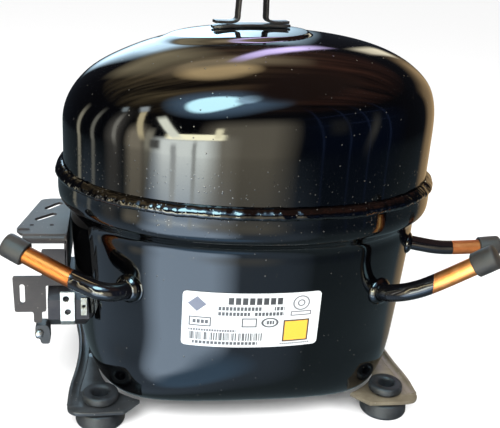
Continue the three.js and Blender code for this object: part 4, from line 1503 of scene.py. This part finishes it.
@dataclass(frozen=True)
class TerminalEnd:
    """The bracket at the left end, the fence round the terminal, and what hangs on them.

    Attributes:
        sheet: thickness of the bracket.
        back: its wall, next to the shell.
        front: its front edge.
        top: its upper face.
    """

    sheet: float = 1.5
    back: float = -100.5
    front: float = -31.5
    top: float = 103.0

    @staticmethod
    def slot(start: Point, end: Point, radius: float) -> list[Vector]:
        """A slot's outline between two centres."""
        line = Vector(end) - Vector(start)
        facing = math.atan2(line.y, line.x)
        outline = []
        for centre, turn in ((start, math.pi / 2), (end, -math.pi / 2)):
            for angle in spread(facing + turn, facing + turn + math.pi, 12):
                outline.append(Vector(centre) + radius * Vector((math.cos(angle), math.sin(angle))))
        return outline

    def bracket(self) -> bmesh.types.BMesh:
        """The bent sheet: shelf with a rounded front, wall and flag."""
        sheet, back, front, top = self.sheet, self.back, self.front, self.top
        bend, foot, quarter = 3.0, 98.5, 1.5708

        def arc(radius: float, start: float, end: float) -> list[Point]:
            """The bend's section at a radius about its middle."""
            return [(front + bend - radius * math.sin(a), top - bend + radius * math.cos(a))
                    for a in spread(start, end, 9)]

        edge = ((back, front + bend), (-124.4, front + bend), (-127.8, -22),
                (-118.3, 25), (-113, 27), (back, 27))
        holes = [[Vector(at) + p for p in circle(1.2, 20)] for at in ((-120, -16), (-109.3, -16))]
        holes += [self.slot((-117.6, -7), (-109.6, 0.8), 1.9), self.slot((-113.6, 10.4), (-107.4, 18.6), 1.9)]
        shelf = slab(rounded(edge, 2.2, 5), top - sheet, top, holes)
        curl = [(front + bend + 0.4, top - 0.05), *arc(bend, 0, quarter), (front, foot),
                (front + sheet, foot), *arc(bend - sheet, quarter, 0),
                (front + bend + 0.4, top - sheet + 0.05)]
        ends = [Matrix.Translation((0, 0, x)) for x in (-123.6, back)]
        lip = moved(swept([Vector(p) for p in curl], ends), STAND_ALONG_Y)
        wall = block((back - sheet, front, 73.6), (back, 27, top - 0.2), 0.4)
        outline = ((-114, 94.8), (back, 94.8), (back, 73.6), (-112.2, 73.6), (-112.2, 57.6), (-114.6, 57.6),
                   (-114.6, 50.9), (-119, 50.9), (-119, 57.6), (-129.0, 57.6), (-129.6, 79), (-114, 79))
        hole = self.slot((-124.7, 64.2), (-124.7, 73.1), 1.4)
        flag = moved(slab(rounded(outline, 1.3, 4), -front - sheet, -front, [hole]), STAND_ALONG_X)
        ridge = [Vector((x, -21.8, top - 0.1)) for x in spread(-126.6, -120.6, 6)]
        rib = swept(circle(0.85, 16), stations(ridge))
        return joined(shelf, lip, wall, flag, rib)

    def clip(self) -> bmesh.types.BMesh:
        """The black clip under the flag."""
        outline = ((-118.2, 50.2), (-111.6, 50.2), (-110.5, 47.5), (-110.4, 38.6), (-115.2, 38.6),
                   (-115.8, 42.0), (-118.2, 42.0))
        hole = [Vector((-116.2, 45.2)) + p for p in circle(1.7, 20)]
        return moved(slab(rounded(outline, 1.6, 5), 25.5, 33.5, [hole]), STAND_ALONG_X)

    @staticmethod
    def screw() -> bmesh.types.BMesh:
        """The clip's screw with its domed head."""
        head = ((0, -2.0), (1.1, -2.0), (1.9, -1.55), (2.3, -0.9), (2.35, 0), (1.3, 0), (1.3, 9),
                (1.0, 9.5), (0, 9.5))
        return moved(turned(head, 32), aimed((-116.2, -33.6, 45.2), (0, 1, 0)))

    def build(self) -> None:
        """Places the bracket, clip and screw and dresses the rest."""
        plate = SheetSteel((0.030, 0.028, 0.029), (0.062, 0.056, 0.054), 0.2, 0.36)
        Piece("bracket", self.bracket(), plate, "enamel", ("terminal_bracket",), edge=0.3).place()
        Piece("clip", self.clip(), Moulding((0.012, 0.012, 0.013), 0.34), "plastic", ("cover_clip",),
              edge=0.5).place()
        Piece("screw", self.screw(), Zinc((0.3, 0.3, 0.3)), "zinc", ("clip_screw",), crease=50).place()
        dress("terminal_fence", SheetSteel((0.024, 0.024, 0.029), (0.055, 0.052, 0.055), 0.4, 0.3), 0.3)
        dress("fence_strap", Zinc(), 0.2)
        dress("earth_tab", Zinc((0.22, 0.20, 0.15)), 0.15)
        dress("terminal_body", SheetSteel((0.20, 0.19, 0.18), (0.4, 0.39, 0.37), 0.9, 0.3), 0.4)
        for number in (1, 2, 3):
            dress(f"terminal_pin_{number}", Ground((0.55, 0.50, 0.42)), 0.1)
        dress("lead_connector", Moulding((0.62, 0.56, 0.43), 0.45), 0.5)


@dataclass(frozen=True)
class StrapAndEars:
    """The strap across the crown with two ears bent up from it.

    Attributes:
        turn: how far it is turned about Z.
        x: its middle.
        y: its middle.
        length: its length.
        gap: room under it and under the ears' feet.
    """

    turn: float = 0.21
    x: float = -2.0
    y: float = 5.0
    length: float = 45.0
    gap: float = 0.3

    def on_dome(self, dome: Dome, u: float) -> float:
        """Height of the dome under a place along the strap."""
        return dome.height(self.x + u * math.cos(self.turn), self.y + u * math.sin(self.turn))

    def build(self, dome: Dome) -> None:
        """Places strap and ears.

        Args:
            dome: the dome that they stand on.
        """
        place = Matrix.Translation((self.x, self.y, 0)) @ Matrix.Rotation(self.turn, 4, "Z")
        steel = SheetSteel((0.022, 0.021, 0.022), (0.07, 0.064, 0.06), 0.7, 0.28, (1, 1, 1))
        line = [Vector((u, 0, self.on_dome(dome, u) + self.gap + 0.75))
                for u in spread(-self.length / 2, self.length / 2, 31)]
        places = stations(line)
        ends = [at @ Matrix.Diagonal((0.55 + 0.45 * ease(min(i, len(line) - 1 - i) / 3), 1, 1, 1))
                for i, at in enumerate(places)]
        section = rounded(((-4.5, -0.75), (4.5, -0.75), (4.5, 0.75), (-4.5, 0.75)), 0.4, 3)
        Piece("strap", moved(swept(section, ends), place), steel, "enamel", ("top_strap",)).place()
        section = rounded(((-3, -0.75), (3, -0.75), (3, 0.75), (-3, 0.75)), 0.35, 3)
        for name, side in (("left", -1), ("right", 1)):
            tip, bend = self.length / 2 - 1, 8.2
            lift = 2 * self.gap + 1.5 + max(self.on_dome(dome, side * tip), self.on_dome(dome, side * bend))
            course = ((tip, 0.75), (bend + 3, 0.85), (bend + 0.4, 2.2), (bend, 6), (bend - 0.4, 16))
            spine = [(side * out, 0, lift + rise) for out, rise in course]
            ear = swept(section, stations(flowing(spine, 8)))
            Piece(f"ear_{name}", moved(ear, place), steel, "enamel", (f"top_ear_{name}",)).place()


# ---- inside ---------------------------------------------------------------------------------


@dataclass(frozen=True)
class RunningGear:
    """The motor and the pump, shut inside the shell.

    Attributes:
        spring_low: where a spring stands.
        spring_high: where it ends.
        coil: its mean radius.
        wire: its wire's radius.
        turns: its turns.
        loop: the route of the discharge line from the cylinder head to its stub.
    """

    spring_low: float = 18.0
    spring_high: float = 43.7
    coil: float = 8.0
    wire: float = 1.1
    turns: int = 5
    loop: tuple[Point, ...] = (
        (93.8, -12, 147), (93.5, -24, 143), (84, -38, 136), (66, -50, 126), (36, -60, 118), (0, -64, 112),
        (-30, -62.5, 102), (-50, -56.5, 92), (-58, -50, 86))

    def spring(self) -> bmesh.types.BMesh:
        """A coil with closed ends."""
        line = []
        travel = self.spring_high - self.spring_low - 2 * self.wire
        for share in spread(0, 1, self.turns * 24 + 1):
            rise = ease(share) * 0.35 + share * 0.65
            angle = math.tau * self.turns * share
            line.append(Vector((self.coil * math.cos(angle), self.coil * math.sin(angle),
                                self.spring_low + self.wire + rise * travel)))
        return swept(circle(self.wire, 12), stations(line))

    @staticmethod
    def winding(low: float, high: float) -> bmesh.types.BMesh:
        """End turns of the stator: a bundled ring."""
        middle, half = (low + high) / 2, (high - low) / 2

        def track(angle: float) -> Track:
            across = oval(angle, 8.6, half - 0.4, 3.2)

            def at(turn: float) -> Vector:
                run = Vector((math.cos(math.tau * turn), math.sin(math.tau * turn), 0))
                bundle = 0.35 * math.cos(24 * math.tau * turn) + 0.8 * noise.noise(run * 7 + across * 0.12)
                reach = across * (0.93 + 0.04 * bundle)
                return run * (42 + reach.x) + Vector((0, 0, middle + reach.y))
            return at

        return skin([track(i / 24) for i in range(24)], 192, loop=True)

    def build(self) -> None:
        """Places springs and windings and dresses the rest."""
        steel = Ground()
        corners = ((-1, -1), (1, -1), (1, 1), (-1, 1))
        for number, (x, y) in enumerate(corners, start=1):
            heights = (0, self.spring_low, self.spring_high)
            foot, low, high = ((x * SPRING_AT, y * SPRING_AT, height) for height in heights)
            coil = moved(self.spring(), Matrix.Translation(foot))
            Piece(f"coil_{number}", coil, Ground((0.34, 0.34, 0.36), 2.5), "steel", (f"spring_{number}",),
                  bend=(low, high)).place()
            dress(f"stator_bolt_{number}", steel, 0.25)
        for name, low, high in (("lower", 33.0, 49.7), ("upper", 110.3, 128.0)):
            Piece(f"end_turns_{name}", self.winding(low, high), MagnetWire(), "winding",
                  (f"winding_{name}",), PUMP, crease=70).place()
        loop = swept(circle(2.2, 20), stations(flowing(self.loop, 8)))
        Piece("shock_loop", loop, PaintedCopper((0.0, 0.0, -500.0), (0.0, 0.0, 1.0), 0.3), "copper",
              ("discharge_line",), bend=(self.loop[-1], self.loop[0])).place()
        iron = Cast((0.22, 0.22, 0.225), (0.10, 0.09, 0.08))
        alloy = Cast((0.62, 0.62, 0.63), (0.38, 0.36, 0.33), 0.06, 0.5)
        dressing: dict[Finish, tuple[str, ...]] = {
            Laminations(): ("stator_core", "rotor_core"),
            alloy: ("rotor_ring_lower", "rotor_ring_upper", "connecting_rod"),
            iron: ("cylinder_block", "cylinder_head"),
            steel: ("crankshaft", "crank_pin", "piston", "wrist_pin", "valve_plate", "suction_reed",
                    "discharge_reed", "oil_pickup"),
            Moulding((0.03, 0.03, 0.032), 0.45): ("suction_muffler",),
        }
        thin = {"suction_reed", "discharge_reed"}
        for finish, nodes in dressing.items():
            for node in nodes:
                dress(node, finish, 0.08 if node in thin else 0.35)


# ---- studio ---------------------------------------------------------------------------------


class Shape(Enum):
    """The outlines of the bright things around the object."""

    BOX = "box"
    OVAL = "oval"


@dataclass(frozen=True)
class Panel:
    """Something bright, far off, that the enamel mirrors.

    Attributes:
        bearing: its direction round Z, in degrees, 0 along +X and 90 along +Y.
        rise: its height over the horizon, in degrees.
        width: its width, in degrees.
        height: its height, in degrees.
        glow: its radiance.
        turn: how far it is turned in its own plane, in degrees.
        soft: how soft its edge is, as a share of its size.
        shape: its outline.
    """

    bearing: float
    rise: float
    width: float
    height: float
    glow: Point
    turn: float = 0.0
    soft: float = 0.15
    shape: Shape = Shape.BOX

    def axes(self) -> tuple[Vector, Vector, Vector]:
        """Its direction, its right and its up."""
        b, r, t = (math.radians(v) for v in (self.bearing, self.rise, self.turn))
        ahead = Vector((math.cos(b) * math.cos(r), math.sin(b) * math.cos(r), math.sin(r)))
        right = Vector((math.sin(b), -math.cos(b), 0))
        up = right.cross(ahead)
        return ahead, right * math.cos(t) + up * math.sin(t), up * math.cos(t) - right * math.sin(t)


PANELS: tuple[Panel, ...] = (
    # Low and dim: the yard in front, bluish to the left and near black to the right.
    Panel(-132, -50, 120, 48, (0.5, 0.66, 0.85), soft=0.7, shape=Shape.OVAL),
    Panel(-166, 2, 12, 44, (0.9, 0.85, 0.75), soft=0.6),
    Panel(-148, -4, 12, 32, (3.6, 3.2, 2.4), soft=0.5),
    Panel(-139, -3, 5, 26, (4.2, 4.0, 3.1), soft=0.4),
    Panel(-117, -30, 42, 32, (4.0, 5.1, 6.4), soft=0.6, shape=Shape.OVAL),
    Panel(-105, -48, 34, 18, (0.7, 1.2, 1.8), soft=0.6, shape=Shape.OVAL),
    Panel(-42, 2, 60, 44, (0.012, 0.035, 0.10), soft=0.5),
    Panel(45, -5, 34, 44, (0.75, 0.52, 0.28), soft=0.3),
    Panel(65, 16, 5, 14, (2.2, 2.0, 1.5), soft=0.4),
    # The grey wall and its bright window frames.
    Panel(-91, 0, 34, 44, (2.1, 1.9, 1.45), soft=0.35),
    Panel(-102, -8, 16, 22, (3.3, 3.1, 2.5), soft=0.4),
    Panel(-119, -9, 30, 20, (13.5, 14.5, 13.8), soft=0.3),
    Panel(-124, -14, 3.0, 16, (6.0, 6.4, 6.2), soft=0.4),
    Panel(-135, -7, 6.0, 10, (1.3, 1.3, 1.2), soft=0.3),
    Panel(-113, -12, 2.0, 20, (5.0, 5.3, 5.0), soft=0.4),
    Panel(-114, 3.5, 29, 7, (23.0, 22.0, 15.5), soft=0.12),
    Panel(-130, 15, 5.5, 30, (15.5, 16.0, 13.5), -29, 0.25),
    Panel(-102.5, 8, 3.4, 13, (17.0, 16.0, 11.0), soft=0.3),
    Panel(-149, 17, 4.0, 38, (9.5, 8.2, 5.0), -17, 0.3),
    Panel(-165.5, 6, 3.6, 34, (3.4, 3.3, 2.9), -4, 0.4),
    Panel(173, 0, 4.0, 40, (1.9, 1.9, 1.6), soft=0.4),
    Panel(153, -3, 5.0, 34, (2.2, 2.1, 1.6), soft=0.4),
    Panel(-157, 36, 5.0, 7, (5.5, 6.2, 6.5), -35, 0.4),
    Panel(-171, 31, 4.0, 6, (3.2, 3.8, 4.0), -35, 0.4),
    # Faint frames far off to the right.
    *(Panel(bearing, 8, 0.7, 50, (0.16, 0.26, 0.62), -6, 0.5) for bearing in (-61, -47, -35, -20)),
    *(Panel(-42, rise, 44, 0.8, (0.12, 0.18, 0.42), 3, 0.5) for rise in (24, 12)),
    Panel(-52, 10, 9, 16, (0.16, 0.17, 0.18), soft=0.5),
    Panel(-31, 3, 5, 24, (0.5, 0.5, 0.46), 12, 0.7),
    # Overhead: daylight through a gap on the left, lit boards behind.
    Panel(-112, 55, 44, 46, (1.2, 2.0, 3.0), 10, 0.6, Shape.OVAL),
    Panel(-116, 54, 22, 33, (14.0, 23.0, 26.0), 10, 0.25, Shape.OVAL),
    Panel(-91, 64, 8, 17, (5.5, 8.5, 11.0), 14, 0.5, Shape.OVAL),
    Panel(104, 67, 20, 25, (6.0, 4.4, 2.3), 0, 0.5, Shape.OVAL),
    Panel(95, 58, 26, 12, (2.4, 1.9, 1.2), 0, 0.6),
    Panel(-20, 72, 50, 30, (0.20, 0.11, 0.08), soft=0.6, shape=Shape.OVAL),
    # Behind, low: seen at a glance along the crown and the shoulders.
    Panel(90, 15, 24, 26, (2.4, 3.3, 4.0), soft=0.3),
    Panel(87, 18, 7, 20, (4.6, 7.2, 9.0), -12, 0.5),
    Panel(78, 43, 3.6, 28, (6.0, 5.0, 8.5), 20, 0.4),
    Panel(108, 40, 20, 20, (1.3, 1.1, 0.7), soft=0.5),
)


@dataclass(frozen=True)
class Studio:
    """Floor, surroundings, lamps and camera.

    Attributes:
        eye: where the camera stands.
        heading: its turn from +Y towards +X.
        tilt: how far it looks down.
        roll: how far it leans.
        lens: its focal length, on a 36 mm sensor.
    """

    eye: Point = (-74.94, -430.72, 269.52)
    heading: float = 0.180755
    tilt: float = 0.361461
    roll: float = 0.0700047
    lens: float = 56.85

    def floor(self) -> None:
        """A wide pale floor."""
        ground = bmesh.new()
        bmesh.ops.create_grid(ground, x_segments=1, y_segments=1, size=6.0)
        data = bpy.data.meshes.new("floor")
        ground.to_mesh(data)
        ground.free()
        made = bpy.data.objects.new("floor", data)
        bpy.context.scene.collection.objects.link(made)
        made.visible_glossy = False
        paper = bpy.data.materials.new("paper")
        graph = Graph(paper)
        graph.surface(Base_Color=colour(0.93, 0.93, 0.93), Roughness=1.0, Specular_IOR_Level=0.0)
        data.materials.append(paper)

    def surroundings(self) -> None:
        """A bright white room to light it, and a dark one with bright panels for it to mirror."""
        world = bpy.data.worlds.new("room")
        bpy.context.scene.world = world
        graph = Graph(world)
        way = graph.node("ShaderNodeTexCoord", output="Generated")
        seen: Any = self.backdrop(graph, way)
        for panel in PANELS:
            seen = graph.blend(self.mask(graph, way, panel), seen, colour(*panel.glow))
        mirrored = graph.node("ShaderNodeLightPath", output="Is Glossy Ray")
        both = graph.blend(mirrored, colour(1.0, 1.0, 1.0), seen)
        shown = graph.node("ShaderNodeBackground", inputs={"Color": both, "Strength": 1.0})
        graph.node("ShaderNodeOutputWorld", inputs={"Surface": shown})

    @staticmethod
    def backdrop(graph: Graph, way: Wire) -> Wire:
        """The dim room itself: dark below, a little browner overhead."""
        east, north, height = graph.axes(way)
        level = height.over(0.2)
        boards = graph.node("ShaderNodeCombineXYZ", inputs={0: east / level * 0.5, 1: north / level * 5.0})
        streaks = graph.noise(boards, 0.9, 4, 0.65).step(0.42, 0.66)
        planks = graph.noise(boards, 3.1, 2, 0.5).step(0.4, 0.6)
        tint = graph.blend(east.step(-0.55, 0.35), colour(1.5, 1.15, 0.62), colour(0.55, 0.23, 0.15))
        lit = (streaks * 0.75 + planks * 0.35) * height.step(0.5, 0.82)
        dim = graph.ramp(height, (0.0, (0.02, 0.024, 0.032)), (0.45, (0.02, 0.02, 0.026)),
                         (1.0, (0.05, 0.035, 0.03)))
        ground = graph.blend(height.step(-0.18, -0.5), dim, colour(0.19, 0.26, 0.29))
        return graph.blend(lit.under(1.0), ground, tint)

    @staticmethod
    def mask(graph: Graph, way: Wire, panel: Panel) -> Wire:
        """1 where a direction meets a panel."""
        ahead, right, up = panel.axes()
        depth = graph.vector("DOT_PRODUCT", way, tuple(ahead), output="Value")
        half_width = math.tan(math.radians(panel.width / 2))
        half_height = math.tan(math.radians(panel.height / 2))
        across = graph.vector("DOT_PRODUCT", way, tuple(right / half_width), output="Value") / depth
        along = graph.vector("DOT_PRODUCT", way, tuple(up / half_height), output="Value") / depth
        low, high = 1 + panel.soft, 1 - panel.soft
        if panel.shape is Shape.OVAL:
            inside = (across * across + along * along).step(low, high)
        else:
            inside = abs(across).step(low, high) * abs(along).step(low, high)
        return inside * depth.step(0.0, 0.01)

    def lamps(self) -> None:
        """Soft lamps that the enamel doesn't mirror."""
        lamps = (("key", (-350, -600, 700), 500, 9.0), ("fill", (500, -450, 500), 500, 4.0))
        for name, at, size, power in lamps:
            lamp = bpy.data.lights.new(name, "AREA")
            lamp.energy, lamp.size = power, size * MM
            made = bpy.data.objects.new(name, lamp)
            made.matrix_world = aimed(HUB + Vector(at) * MM, Vector(at) - Vector((0, 0, 100)))
            made.visible_glossy = False
            bpy.context.scene.collection.objects.link(made)

    def camera(self) -> None:
        """The camera at the viewing angle."""
        ahead = Vector((math.sin(self.heading) * math.cos(self.tilt),
                        math.cos(self.heading) * math.cos(self.tilt), -math.sin(self.tilt)))
        level = Vector((math.cos(self.heading), -math.sin(self.heading), 0))
        over = level.cross(ahead)
        right = level * math.cos(self.roll) + over * math.sin(self.roll)
        up = over * math.cos(self.roll) - level * math.sin(self.roll)
        lens = bpy.data.cameras.new("camera")
        lens.lens, lens.sensor_width, lens.clip_start = self.lens, 36.0, 0.01
        made = bpy.data.objects.new("camera", lens)
        facing = Matrix((right, up, -ahead)).transposed().to_4x4()
        made.matrix_world = Matrix.Translation(HUB + Vector(self.eye) * MM) @ facing
        bpy.context.scene.collection.objects.link(made)
        bpy.context.scene.camera = made

    def build(self) -> None:
        """Sets up everything round the object."""
        self.floor()
        self.surroundings()
        self.lamps()
        self.camera()
        bpy.context.scene.view_settings.view_transform = "Standard"


def main() -> None:
    """Builds the visual model and its studio."""
    logging.basicConfig(level=logging.INFO, format="%(name)s: %(message)s")
    dome, cup = Dome(), Cup()
    dome.build()
    cup.build()
    SeamBead().build(dome)
    Base().build()
    for route in ROUTES:
        Stub(route).build()
    RatingLabel().build(cup)
    TerminalEnd().build()
    StrapAndEars().build(dome)
    RunningGear().build()
    Studio().build()


if __name__ == "__main__":
    main()
